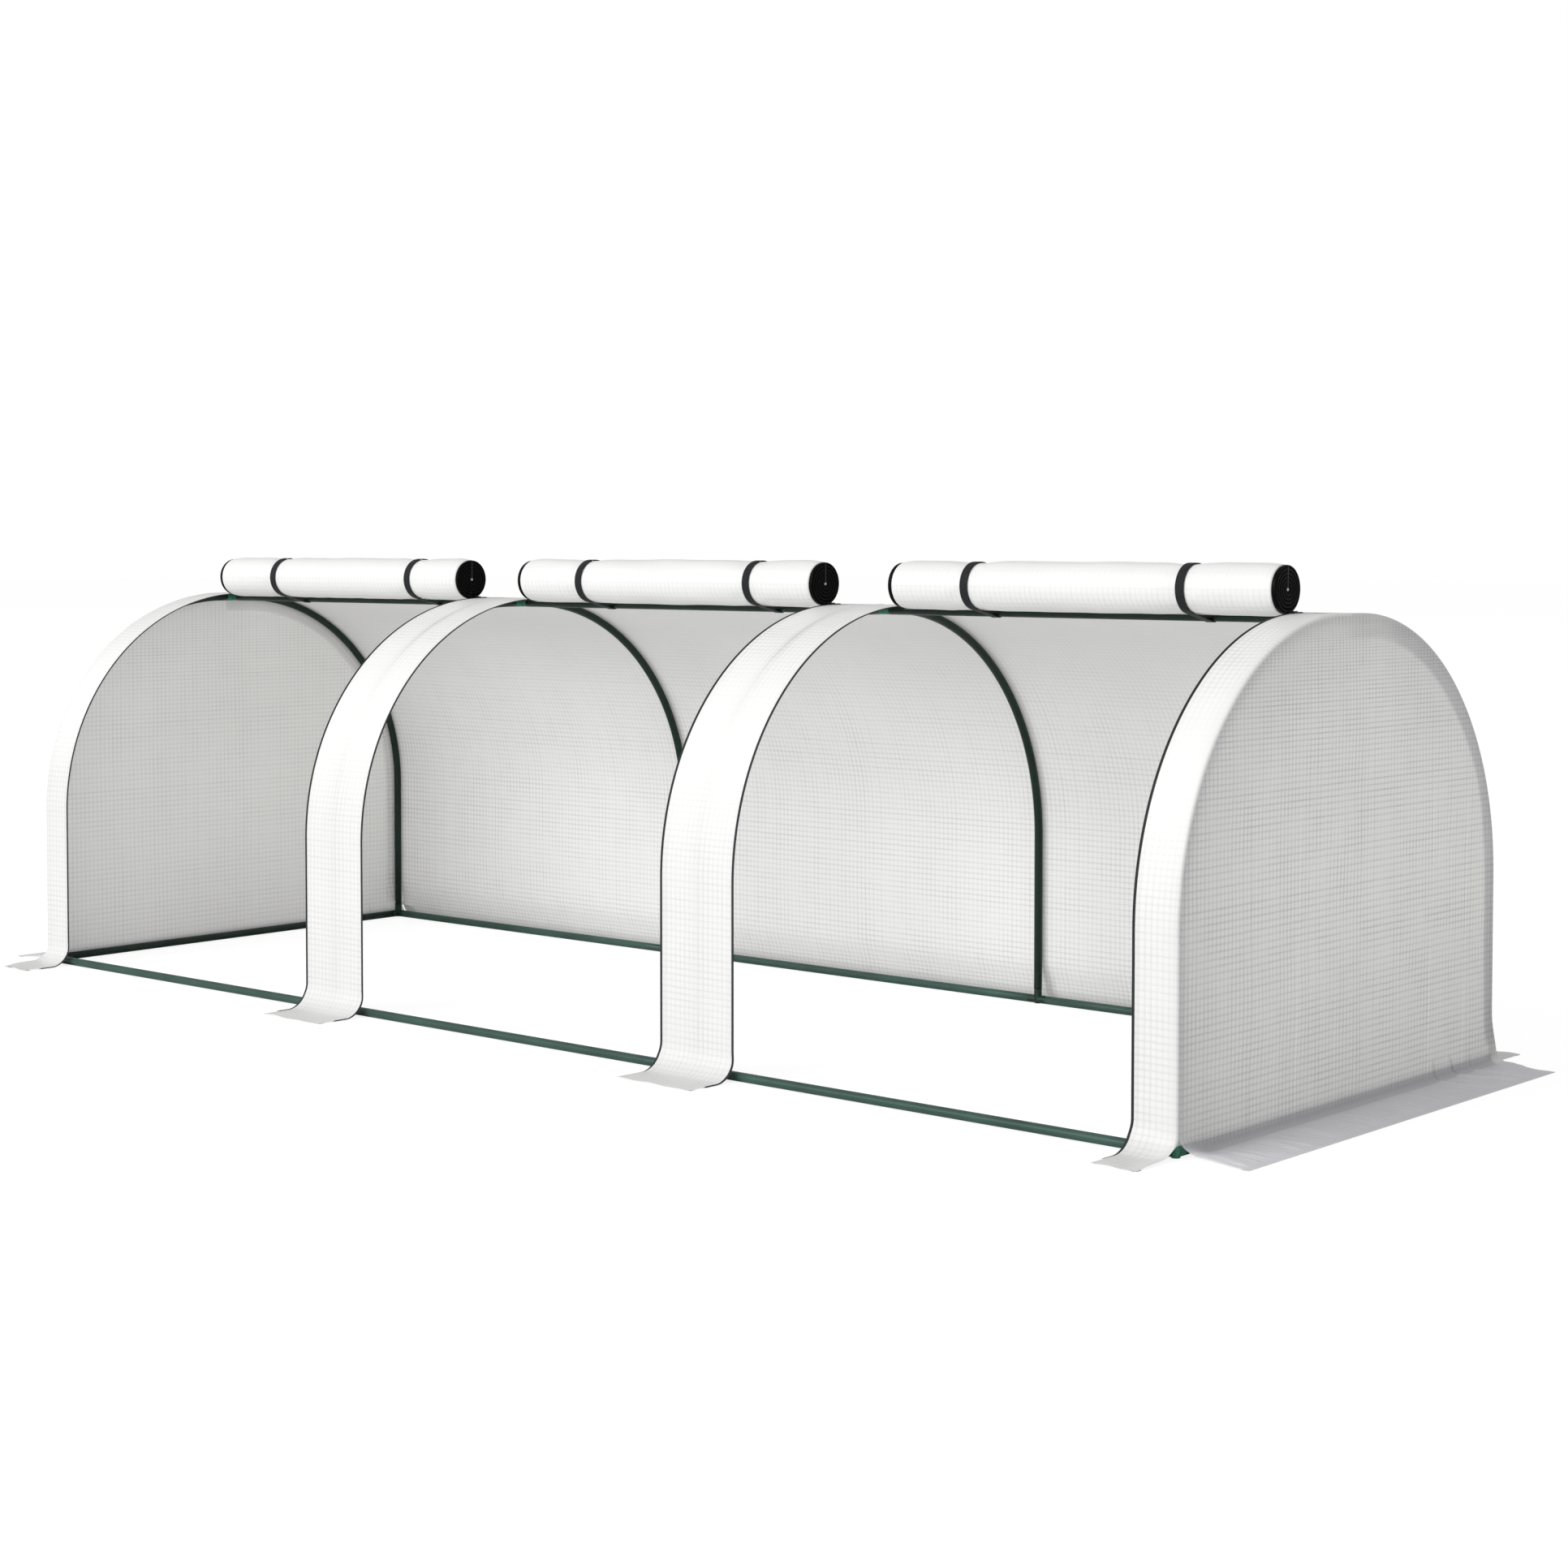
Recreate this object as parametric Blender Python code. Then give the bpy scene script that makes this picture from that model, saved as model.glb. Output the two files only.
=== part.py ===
"""Row cover tunnel: a steel hoop frame under a reinforced sheet cover with three roll-up doors.

Metres, +Z up, +X along the ridge, -Y towards the doors. The origin is on the ground
under the middle of the ridge. Hoops, strips and doors are numbered from -X to +X.
"""
import math

import bmesh
import bpy
from mathutils import Matrix, Vector

# Overall sizes, over the outside of the cover
TUNNEL_WIDTH = 1.000
TUNNEL_HEIGHT = 0.797
CROWN_FLAT = 0.070
HOOP_PITCH = 0.9625
BAYS = 3

# Cover sheet, skirts and door openings
CLOTH = 0.001
SKIRT_REACH = 0.108
END_SKIRT_REACH = 0.120
FLARE_RADIUS = 0.045
END_FLARE_RADIUS = 0.012
STRIP_WIDTH = 0.172
END_STRIP_INNER = 0.0735
ROOF_FRONT_EDGE = 0.012

# Steel tubes and the plugs that join them
TUBE_DIAMETER = 0.016
TUBE_WALL = 0.0008
PLUG_CLEARANCE = 0.0003
HUB_ARM = 0.020
HUB_ARM_ROOT = 0.003
HUB_BALL_RADIUS = 0.0079
SPIGOT = 0.015
SPIGOT_CHAMFER = 0.0016
FOOT_DIAMETER = 0.014

# Rolled doors, their tie straps and zips
ROLL_RADIUS = 0.0445
ROLL_FRONT_OFFSET = 0.055
ROLL_SAG = 0.0057
ROLL_PINCH = 0.0035
ROLL_PINCH_RAMP = 0.060
ROLL_LAP = 0.0012
ROLL_END_INSET = 0.0036
ROLL_END_PINCH = 0.0030
ROLL_END_RAMP = 0.035
WOUND_ZIP_LEFT = 0.003
WOUND_ZIP_RIGHT = 0.007
WOUND_ZIP_RADIUS = 0.0405
WOUND_ZIP_DIMPLE = 0.0015
WOUND_ZIP_CORE = 0.004
STRAP_WIDTH = 0.017
STRAP_THICKNESS = 0.0012
STRAP_LEFTS = (0.194, 0.179, 0.175)
STRAP_RIGHTS = (0.162, 0.166, 0.183)
APRON_REACH = 0.030
ZIP_WIDTH = 0.005
ZIP_STOP = 0.036
SLIDER_LENGTH = 0.010
SLIDER_PARK_LENGTH = 0.008
SLIDER_GAP = 0.0005
SLIDER_PLATE = 0.0008
SLIDER_OUTSIDE = 0.0030
SLIDER_INSIDE = 0.0044
SLIDER_POST_GAP = 0.0004
SLIDER_POST = 0.0012
SLIDER_CHEEK = 0.0008
SLIDER_CHEEK_HEIGHT = 0.0026
PULL_LENGTH = 0.022
PULL_THICKNESS = 0.0012

# Clearance between neighbouring pieces
GAP = 0.0003

# Facets
TUBE_SIDES = 10
BEND_STEPS = 12
ZIP_STEPS = 24
FLARE_STEPS = 5
ROLL_SIDES = 22
STRAP_ROLL_STEPS = 24
STRAP_TUBE_STEPS = 5
BALL_STEPS = 2
FLAT_DOWN_SHARE = 0.5
SWELL_SHARES = ((0.25, 0.45), (0.55, 0.80), (1.0, 1.0))
SMOOTH_DEGREES = 40

# Worked out from the sizes above
HALF_WIDTH = TUNNEL_WIDTH / 2
CROWN_HALF = CROWN_FLAT / 2
BEND_RADIUS = HALF_WIDTH - CROWN_HALF
LEG_TOP = TUNNEL_HEIGHT - BEND_RADIUS
TUBE_RADIUS = TUBE_DIAMETER / 2
TUBE_INSET = CLOTH + GAP + TUBE_RADIUS
RAIL_HEIGHT = TUBE_RADIUS
RAIL_Y = HALF_WIDTH - TUBE_INSET
RIDGE_HEIGHT = TUNNEL_HEIGHT - TUBE_INSET
FRAME_HALF = HOOP_PITCH * BAYS / 2
COVER_END = FRAME_HALF + TUBE_INSET
STRIP_HALF = STRIP_WIDTH / 2
HUB_REACH = HUB_ARM + GAP
ROLL_CENTRE_RADIUS = BEND_RADIUS - ROLL_SAG + ROLL_RADIUS
ROLL_ANGLE = math.asin((ROLL_FRONT_OFFSET - CROWN_HALF) / ROLL_CENTRE_RADIUS)
ROLL_Y = -ROLL_FRONT_OFFSET
ROLL_Z = LEG_TOP + ROLL_CENTRE_RADIUS * math.cos(ROLL_ANGLE)
SLIDER_ANGLE = SLIDER_PARK_LENGTH / BEND_RADIUS


def hoop_x(number):
    """Centre of a hoop along the ridge; hoop 1 is at the -X end."""
    return (number - 1) * HOOP_PITCH - FRAME_HALF


def door_edges(number):
    """The two X places between which a door opening lies."""
    left_hoop, right_hoop = hoop_x(number), hoop_x(number + 1)
    left = left_hoop + (END_STRIP_INNER if number == 1 else STRIP_HALF)
    right = right_hoop - (END_STRIP_INNER if number == BAYS else STRIP_HALF)
    return left, right


def make_material(name, colour, roughness, metallic=0.0):
    """A plain material with one colour."""
    material = bpy.data.materials.new(name)
    material.use_nodes = True
    shader = material.node_tree.nodes["Principled BSDF"]
    shader.inputs["Base Color"].default_value = (*colour, 1.0)
    shader.inputs["Roughness"].default_value = roughness
    shader.inputs["Metallic"].default_value = metallic
    material.diffuse_color = (*colour, 1.0)
    return material


def add_object(name, bm, material, origin=(0.0, 0.0, 0.0)):
    """Turns the faces outwards and makes a named object, with its origin at its joint if it has one."""
    bmesh.ops.recalc_face_normals(bm, faces=bm.faces)
    mesh = bpy.data.meshes.new(name)
    bm.transform(Matrix.Translation(-Vector(origin)))
    bm.to_mesh(mesh)
    bm.free()
    mesh.materials.append(material)
    mesh.shade_smooth()
    mesh.set_sharp_from_angle(angle=math.radians(SMOOTH_DEGREES))
    obj = bpy.data.objects.new(name, mesh)
    obj.location = origin
    bpy.context.scene.collection.objects.link(obj)
    return obj


def skin(bm, rings, ring_closed=False):
    """Joins rings of equally many points with quads and caps the open ends; a closed chain has none."""
    loops = [[bm.verts.new(point) for point in ring] for ring in rings]
    pairs = list(zip(loops, loops[1:]))
    if ring_closed:
        pairs.append((loops[-1], loops[0]))
    for first, second in pairs:
        for i in range(len(first)):
            j = (i + 1) % len(first)
            bm.faces.new((first[i], first[j], second[j], second[i]))
    if not ring_closed:
        bm.faces.new(reversed(loops[0]))
        bm.faces.new(loops[-1])


def ribbon(bm, outer, inner, x_low, x_high):
    """A strip of sheet along X whose two faces run through matching (y, z) points."""
    rings = []
    for (oy, oz), (iy, iz) in zip(outer, inner):
        rings.append([(x_low, oy, oz), (x_high, oy, oz), (x_high, iy, iz), (x_low, iy, iz)])
    skin(bm, rings)


def arc(centre, radius, start, end, steps):
    """Points on an arc in (y, z); angles in radians from +y towards +z."""
    points = []
    for k in range(steps + 1):
        angle = start + (end - start) * k / steps
        points.append((centre[0] + radius * math.cos(angle), centre[1] + radius * math.sin(angle)))
    return points


def front_line(depth, bend_steps, reach=SKIRT_REACH):
    """The cover's front section from foot to roof seam, a given depth under its outer face."""
    foot_centre = (-HALF_WIDTH - FLARE_RADIUS, CLOTH + FLARE_RADIUS)
    points = [(-HALF_WIDTH - reach, CLOTH - depth)]
    points += arc(foot_centre, FLARE_RADIUS + depth, -math.pi / 2, 0.0, FLARE_STEPS)
    points += arc((-CROWN_HALF, LEG_TOP), BEND_RADIUS - depth, math.pi, math.pi / 2, bend_steps)
    points.append((-ROOF_FRONT_EDGE - GAP, TUNNEL_HEIGHT - depth))
    return points


def rear_line(depth):
    """The roof and rear wall's section from roof seam over the ridge to the rear foot's tip."""
    mirrored = [(-y, z) for y, z in reversed(front_line(depth, BEND_STEPS)[:-1])]
    return [(-ROOF_FRONT_EDGE, TUNNEL_HEIGHT - depth)] + mirrored


def circle(centre, axis_a, axis_b, radius, phase_share=0.0):
    """A ring of tube points round a centre in the plane of two unit axes."""
    ring = []
    for k in range(TUBE_SIDES):
        angle = 2 * math.pi * (k + phase_share) / TUBE_SIDES
        ring.append(centre + axis_a * (radius * math.cos(angle)) + axis_b * (radius * math.sin(angle)))
    return ring


def hollow_tube(bm, centres, normals, side, phase_share=0.0):
    """A tube along a path: outer rings one way, bore rings back, joined into one closed wall."""
    bore = TUBE_RADIUS - TUBE_WALL
    outer = [circle(c, n, side, TUBE_RADIUS, phase_share) for c, n in zip(centres, normals)]
    inner = [circle(c, n, side, bore, phase_share) for c, n in zip(centres, normals)]
    skin(bm, outer + inner[::-1], ring_closed=True)


def straight_tube(name, start, end, material):
    """A straight tube between two points, with flats on its underside and top."""
    start, end = Vector(start), Vector(end)
    along = (end - start).normalized()
    up = Vector((0, 0, 1))
    bm = bmesh.new()
    hollow_tube(bm, [start, end], [up, up], up.cross(along), phase_share=FLAT_DOWN_SHARE)
    return add_object(name, bm, material)


def hoop_half(name, x, front, material):
    """One bent tube: a leg, a quarter bend and the short straight end that meets the ridge plug."""
    sign = -1 if front else 1
    bend = BEND_RADIUS - TUBE_INSET
    centres = [Vector((x, sign * RAIL_Y, RAIL_HEIGHT + HUB_REACH))]
    normals = [Vector((0, sign, 0))]
    for k in range(BEND_STEPS + 1):
        angle = math.pi / 2 * k / BEND_STEPS
        outward = Vector((0, sign * math.cos(angle), math.sin(angle)))
        centres.append(Vector((x, sign * CROWN_HALF, LEG_TOP)) + outward * bend)
        normals.append(outward)
    centres.append(Vector((x, sign * HUB_REACH, RIDGE_HEIGHT)))
    normals.append(Vector((0, 0, 1)))
    bm = bmesh.new()
    hollow_tube(bm, centres, normals, Vector((1, 0, 0)))
    return add_object(name, bm, material)


def union_mesh(pieces):
    """Joins overlapping closed shapes into one body and returns it as a bmesh."""
    objects = []
    for piece in pieces:
        bmesh.ops.recalc_face_normals(piece, faces=piece.faces)
        mesh = bpy.data.meshes.new("union_piece")
        piece.to_mesh(mesh)
        piece.free()
        obj = bpy.data.objects.new("union_piece", mesh)
        bpy.context.scene.collection.objects.link(obj)
        objects.append(obj)
    base = objects[0]
    for other in objects[1:]:
        modifier = base.modifiers.new("join", "BOOLEAN")
        modifier.operation = "UNION"
        modifier.solver = "EXACT"
        modifier.object = other
    bpy.context.view_layer.update()
    evaluated = base.evaluated_get(bpy.context.evaluated_depsgraph_get())
    result = bmesh.new()
    result.from_mesh(evaluated.to_mesh())
    evaluated.to_mesh_clear()
    for obj in objects:
        bpy.data.objects.remove(obj)
    return result


def hub_arm(centre, direction):
    """A hub's arm, flush with the tube, and the chamfered spigot that fills the tube's bore."""
    direction = Vector(direction)
    upright = direction.z != 0
    up = Vector((0, 1, 0)) if upright else Vector((0, 0, 1))
    side = up.cross(direction)
    plug = TUBE_RADIUS - TUBE_WALL - PLUG_CLEARANCE
    meets_hoop = upright or direction.x == 0 and centre.z > LEG_TOP
    phase_share = 0.0 if meets_hoop else FLAT_DOWN_SHARE
    profile = [(HUB_ARM_ROOT, TUBE_RADIUS), (HUB_ARM, TUBE_RADIUS), (HUB_ARM, plug)]
    profile += [(HUB_ARM + SPIGOT - SPIGOT_CHAMFER, plug), (HUB_ARM + SPIGOT, plug - SPIGOT_CHAMFER)]
    rings = [circle(centre + direction * reach, up, side, radius, phase_share) for reach, radius in profile]
    bm = bmesh.new()
    skin(bm, rings)
    return bm


def hub_foot(centre):
    """The round pad under a base hub, flat on the ground."""
    top, ground = centre.copy(), Vector((centre.x, centre.y, 0.0))
    axes = Vector((1, 0, 0)), Vector((0, 1, 0))
    bm = bmesh.new()
    skin(bm, [circle(ground, *axes, FOOT_DIAMETER / 2), circle(top, *axes, FOOT_DIAMETER / 2)])
    return bm


def make_hub(name, centre, directions, material):
    """A moulded plug: a ball with one arm for each tube, and a foot where it stands on the ground."""
    centre = Vector(centre)
    ball = bmesh.new()
    bmesh.ops.create_icosphere(ball, subdivisions=BALL_STEPS, radius=HUB_BALL_RADIUS)
    ball.transform(Matrix.Translation(centre))
    pieces = [ball] + [hub_arm(centre, direction) for direction in directions]
    if centre.z < LEG_TOP:
        pieces.append(hub_foot(centre))
    return add_object(name, union_mesh(pieces), material)


def make_plugs(plastic):
    """The plugs at the base corners, along the base rails and along the ridge."""
    for number in range(1, BAYS + 2):
        x = hoop_x(number)
        at_end = number in (1, BAYS + 1)
        along = [(side, 0, 0) for side in (1, -1) if 1 <= number + side <= BAYS + 1]
        for label, side in (("front", -1), ("rear", 1)):
            kind = "corner_plug" if at_end else "base_tee"
            inward = [(0, -side, 0)] if at_end else []
            centre = (x, side * RAIL_Y, RAIL_HEIGHT)
            make_hub(f"{kind}_{number}_{label}", centre, along + inward + [(0, 0, 1)], plastic)
        kind = "ridge_tee" if at_end else "ridge_cross"
        make_hub(f"{kind}_{number}", (x, 0, RIDGE_HEIGHT), along + [(0, 1, 0), (0, -1, 0)], plastic)


def make_tubes(steel):
    """Base rails, ridge and hoops."""
    for number in range(1, BAYS + 1):
        low, high = hoop_x(number) + HUB_REACH, hoop_x(number + 1) - HUB_REACH
        for label, y in (("front", -RAIL_Y), ("rear", RAIL_Y)):
            name = f"base_rail_{label}_{number}"
            straight_tube(name, (low, y, RAIL_HEIGHT), (high, y, RAIL_HEIGHT), steel)
        straight_tube(f"ridge_tube_{number}", (low, 0, RIDGE_HEIGHT), (high, 0, RIDGE_HEIGHT), steel)
    for label, x in (("left", -FRAME_HALF), ("right", FRAME_HALF)):
        ends = RAIL_Y - HUB_REACH
        straight_tube(f"base_rail_{label}", (x, -ends, RAIL_HEIGHT), (x, ends, RAIL_HEIGHT), steel)
    for number in range(1, BAYS + 2):
        hoop_half(f"hoop_{number}_front", hoop_x(number), True, steel)
        hoop_half(f"hoop_{number}_rear", hoop_x(number), False, steel)


def plate(bm, outer, inner, breaks, present):
    """A sheet over a grid: columns between X breaks and rows along (y, z) points; some cells left out."""
    rows, columns = len(outer) - 1, len(breaks) - 1
    faces = [[[bm.verts.new((x, y, z)) for x in breaks] for y, z in line] for line in (outer, inner)]
    for r in range(rows):
        for c in range(columns):
            if not present(r, c):
                continue
            corners = [(r, c), (r, c + 1), (r + 1, c + 1), (r + 1, c)]
            for layer in faces:
                bm.faces.new([layer[i][j] for i, j in corners])
            beside = [(r - 1, c), (r, c + 1), (r + 1, c), (r, c - 1)]
            for k, (nr, nc) in enumerate(beside):
                inside = 0 <= nr < rows and 0 <= nc < columns and present(nr, nc)
                if inside:
                    continue
                (i1, j1), (i2, j2) = corners[k], corners[(k + 1) % 4]
                bm.faces.new((faces[0][i1][j1], faces[0][i2][j2], faces[1][i2][j2], faces[1][i1][j1]))
    loose = [v for v in bm.verts if not v.link_faces]
    bmesh.ops.delete(bm, geom=loose, context="VERTS")


def leaving_angle():
    """Where the sheet from the roof seam touches a roll's underside, as an angle round the roll."""
    dy, dz = -ROOF_FRONT_EDGE - ROLL_Y, TUNNEL_HEIGHT - ROLL_Z
    return math.atan2(dz, dy) - math.acos((ROLL_RADIUS + GAP) / math.hypot(dy, dz))


def make_roof(sheet):
    """The roof, rear wall and rear skirt in one sheet, with a flap at each door that runs to its roll."""
    lines = []
    slope = leaving_angle() - math.pi / 2
    for depth in (0.0, CLOTH):
        flap_y = -ROOF_FRONT_EDGE + APRON_REACH * math.cos(slope)
        flap_z = TUNNEL_HEIGHT + APRON_REACH * math.sin(slope) - depth
        lines.append([(flap_y, flap_z)] + rear_line(depth))
    flap_rows = len(lines[0]) - len(rear_line(0.0))
    breaks = [-COVER_END]
    for number in range(1, BAYS + 1):
        left, right = door_edges(number)
        breaks += [left + ROLL_END_INSET, right - ROLL_END_INSET]
    breaks.append(COVER_END)
    bm = bmesh.new()
    plate(bm, *lines, breaks, lambda row, column: row >= flap_rows or column % 2 == 1)
    add_object("roof_rear_panel", bm, sheet)


def make_front_strips(sheet):
    """The four upright strips between and beside the doors, from roof seam to foot."""
    outer, inner = front_line(0.0, BEND_STEPS), front_line(CLOTH, BEND_STEPS)
    edge = ZIP_WIDTH + GAP
    for number in range(1, BAYS + 2):
        low = -COVER_END if number == 1 else door_edges(number - 1)[1] + edge
        high = COVER_END if number > BAYS else door_edges(number)[0] - edge
        bm = bmesh.new()
        ribbon(bm, outer, inner, low, high)
        add_object(f"front_strip_{number}", bm, sheet)


def make_end(label, sign, sheet):
    """An end wall cut to the arch, with its skirt turned out on the ground; rows go from the tip up."""
    inset = CLOTH + GAP
    half = HALF_WIDTH - inset
    flare_centre = (COVER_END + END_FLARE_RADIUS, CLOTH + END_FLARE_RADIUS)
    rows = []
    for depth in (0.0, CLOTH):
        bend = arc(flare_centre, END_FLARE_RADIUS + depth, -math.pi / 2, -math.pi, FLARE_STEPS)
        skirt = [(COVER_END + END_SKIRT_REACH, CLOTH - depth)] + bend
        line = [(x, half, z) for x, z in skirt]
        for y, z in arc((CROWN_HALF, LEG_TOP), BEND_RADIUS - inset, 0.0, math.pi / 2, BEND_STEPS):
            line.append((COVER_END - depth, y, z))
        rows.append(line)
    rings = []
    for (ox, oy, oz), (ix, iy, iz) in zip(*rows):
        outside, inside = sign * ox, sign * ix
        rings.append([(outside, -oy, oz), (outside, oy, oz), (inside, iy, iz), (inside, -iy, iz)])
    bm = bmesh.new()
    skin(bm, rings)
    add_object(f"end_panel_{label}", bm, sheet)


def make_zips(number, tape):
    """The two strip-side halves of a door's zips, from roof seam to foot; they stop short of its tip."""
    left, right = door_edges(number)
    reach = SKIRT_REACH - ZIP_STOP
    outer, inner = front_line(0.0, ZIP_STEPS, reach), front_line(CLOTH, ZIP_STEPS, reach)
    for label, low in (("left", left - ZIP_WIDTH), ("right", right)):
        bm = bmesh.new()
        ribbon(bm, outer, inner, low, low + ZIP_WIDTH)
        add_object(f"door_{number}_zip_{label}", bm, tape)


def roll_outline(x, radius):
    """A wound sheet's end view: one turn that closes in by one lap, from where the sheet leaves it."""
    ring = []
    for k in range(ROLL_SIDES + 1):
        share = k / ROLL_SIDES
        angle = leaving_angle() - 2 * math.pi * share
        r = radius - ROLL_LAP * share
        ring.append((x, ROLL_Y + r * math.cos(angle), ROLL_Z + r * math.sin(angle)))
    return ring


def strap_places(number):
    """The X centres of a door's two tie straps."""
    left, right = door_edges(number)
    return left + STRAP_LEFTS[number - 1], right - STRAP_RIGHTS[number - 1]


def swell(place, ramp, depth):
    """Stations beside a drawn-in place on a roll, where its radius comes back to full over a ramp."""
    return [(place + ramp * along, ROLL_RADIUS - depth * (1 - back)) for along, back in SWELL_SHARES]


def make_roll(number, sheet, origin):
    """The rolled door, drawn in at its straps and ends, with its wound zip and a dimple at each end."""
    left, right = door_edges(number)
    low, high = left + ROLL_END_INSET, right - ROLL_END_INSET
    cloth_low, cloth_high = low + WOUND_ZIP_LEFT, high - WOUND_ZIP_RIGHT
    end_radius, pinched = ROLL_RADIUS - ROLL_END_PINCH, ROLL_RADIUS - ROLL_PINCH
    stations = [(low + WOUND_ZIP_DIMPLE, WOUND_ZIP_CORE), (low, WOUND_ZIP_RADIUS)]
    stations += [(cloth_low, WOUND_ZIP_RADIUS), (cloth_low, end_radius)]
    stations += swell(cloth_low, ROLL_END_RAMP, ROLL_END_PINCH)
    for place in strap_places(number):
        before, after = place - STRAP_WIDTH / 2, place + STRAP_WIDTH / 2
        stations += swell(before, -ROLL_PINCH_RAMP, ROLL_PINCH)[::-1] + [(before, pinched)]
        stations += [(after, pinched)] + swell(after, ROLL_PINCH_RAMP, ROLL_PINCH)
    stations += swell(cloth_high, -ROLL_END_RAMP, ROLL_END_PINCH)[::-1]
    stations += [(cloth_high, end_radius), (cloth_high, WOUND_ZIP_RADIUS)]
    stations += [(high, WOUND_ZIP_RADIUS), (high - WOUND_ZIP_DIMPLE, WOUND_ZIP_CORE)]
    bm = bmesh.new()
    skin(bm, [roll_outline(x, radius) for x, radius in stations])
    add_object(f"door_{number}_roll", bm, sheet, origin)


def strap_path():
    """A strap's centre line in (y, z): roof seam, over and under the roll, round the ridge tube's back."""
    roll_r = ROLL_RADIUS - ROLL_PINCH + GAP + STRAP_THICKNESS / 2
    tube_r = TUBE_RADIUS + GAP + STRAP_THICKNESS / 2
    dy, dz = -ROLL_Y, RIDGE_HEIGHT - ROLL_Z
    towards_tube = math.atan2(dz, dy)
    spread = math.acos((roll_r - tube_r) / math.hypot(dy, dz))
    upper, lower = towards_tube + spread, towards_tube - spread
    over_roll = arc((ROLL_Y, ROLL_Z), roll_r, upper, lower + 2 * math.pi, STRAP_ROLL_STEPS)
    round_tube = arc((0.0, RIDGE_HEIGHT), tube_r, lower, upper, STRAP_TUBE_STEPS)
    top_y, top_z = over_roll[0]
    tube_y, tube_z = round_tube[-1]
    seam_z = TUNNEL_HEIGHT + GAP + STRAP_THICKNESS / 2
    share = (seam_z - tube_z) / (top_z - tube_z)
    seam = (tube_y + (top_y - tube_y) * share, seam_z)
    return [seam] + over_roll + round_tube


def make_straps(number, webbing):
    """The two webbing ties of a door, each an open loop with both ends at the roof seam."""
    path = strap_path()
    outer, inner = [], []
    for k, (y, z) in enumerate(path):
        before, after = path[max(k - 1, 0)], path[min(k + 1, len(path) - 1)]
        run = math.hypot(after[0] - before[0], after[1] - before[1])
        normal_y, normal_z = (after[1] - before[1]) / run, -(after[0] - before[0]) / run
        half = STRAP_THICKNESS / 2
        outer.append((y + normal_y * half, z + normal_z * half))
        inner.append((y - normal_y * half, z - normal_z * half))
    for label, place in zip(("left", "right"), strap_places(number)):
        bm = bmesh.new()
        ribbon(bm, outer, inner, place - STRAP_WIDTH / 2, place + STRAP_WIDTH / 2)
        add_object(f"door_{number}_strap_{label}", bm, webbing)


def on_arch(x, along, height):
    """A point beside a parked slider: along the zip towards the foot, and above the cover's outer face."""
    outward = Vector((0, -math.sin(SLIDER_ANGLE), math.cos(SLIDER_ANGLE)))
    forward = Vector((0, -math.cos(SLIDER_ANGLE), -math.sin(SLIDER_ANGLE)))
    axis = Vector((x, -CROWN_HALF, LEG_TOP))
    return axis + outward * (BEND_RADIUS + height) + forward * along


def slider_body(edge_x, sign):
    """A zip slider's casting: two plates on a post beside the tape's edge, with two cheeks for the pull."""
    under = -CLOTH - SLIDER_GAP
    plate_top = SLIDER_GAP + SLIDER_PLATE
    cheek_top = plate_top + SLIDER_CHEEK_HEIGHT
    post_out = -SLIDER_POST_GAP - SLIDER_POST
    section = [
        (-SLIDER_OUTSIDE, under - SLIDER_PLATE), (SLIDER_INSIDE, under - SLIDER_PLATE),
        (SLIDER_INSIDE, under), (-SLIDER_POST_GAP, under), (-SLIDER_POST_GAP, SLIDER_GAP),
        (SLIDER_INSIDE, SLIDER_GAP), (SLIDER_INSIDE, cheek_top), (SLIDER_INSIDE - SLIDER_CHEEK, cheek_top),
        (SLIDER_INSIDE - SLIDER_CHEEK, plate_top), (SLIDER_CHEEK - SLIDER_OUTSIDE, plate_top),
        (SLIDER_CHEEK - SLIDER_OUTSIDE, cheek_top), (-SLIDER_OUTSIDE, cheek_top),
        (-SLIDER_OUTSIDE, SLIDER_GAP), (post_out, SLIDER_GAP), (post_out, under), (-SLIDER_OUTSIDE, under),
    ]
    half = SLIDER_LENGTH / 2
    bm = bmesh.new()
    skin(bm, [[on_arch(edge_x + sign * u, along, h) for u, h in section] for along in (-half, half)])
    return bm


def slider_pull(edge_x, sign):
    """The pull tab between the cheeks; it lies back over the cover towards the ridge."""
    middle = (SLIDER_INSIDE - SLIDER_OUTSIDE) / 2
    half_width = (SLIDER_INSIDE + SLIDER_OUTSIDE) / 2 - SLIDER_CHEEK - GAP
    seat = SLIDER_GAP + SLIDER_PLATE / 2
    root, heel = SLIDER_LENGTH / 2 - SLIDER_CHEEK, -SLIDER_LENGTH / 2
    root_top = seat + SLIDER_CHEEK_HEIGHT
    section = [
        (root, seat), (root, root_top), (0.0, root_top), (heel, seat + PULL_THICKNESS),
        (-PULL_LENGTH, SLIDER_GAP + PULL_THICKNESS), (-PULL_LENGTH, SLIDER_GAP), (heel, seat),
    ]
    sides = (middle - half_width, middle + half_width)
    bm = bmesh.new()
    skin(bm, [[on_arch(edge_x + sign * u, along, h) for along, h in section] for u in sides])
    return bm


def make_slider(number, label, edge_x, sign, metal, origin):
    """A zip slider with its pull."""
    slider = union_mesh([slider_body(edge_x, sign), slider_pull(edge_x, sign)])
    add_object(f"door_{number}_slider_{label}", slider, metal, origin)


def make_door(number, sheet, tape, webbing, metal):
    """Everything that belongs to one door; what moves turns about the arch's own centre line."""
    left, right = door_edges(number)
    make_zips(number, tape)
    make_roll(number, sheet, ((left + right) / 2, -CROWN_HALF, LEG_TOP))
    make_straps(number, webbing)
    for label, edge_x, sign in (("left", left, -1), ("right", right, 1)):
        make_slider(number, label, edge_x, sign, metal, (edge_x, -CROWN_HALF, LEG_TOP))


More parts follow.
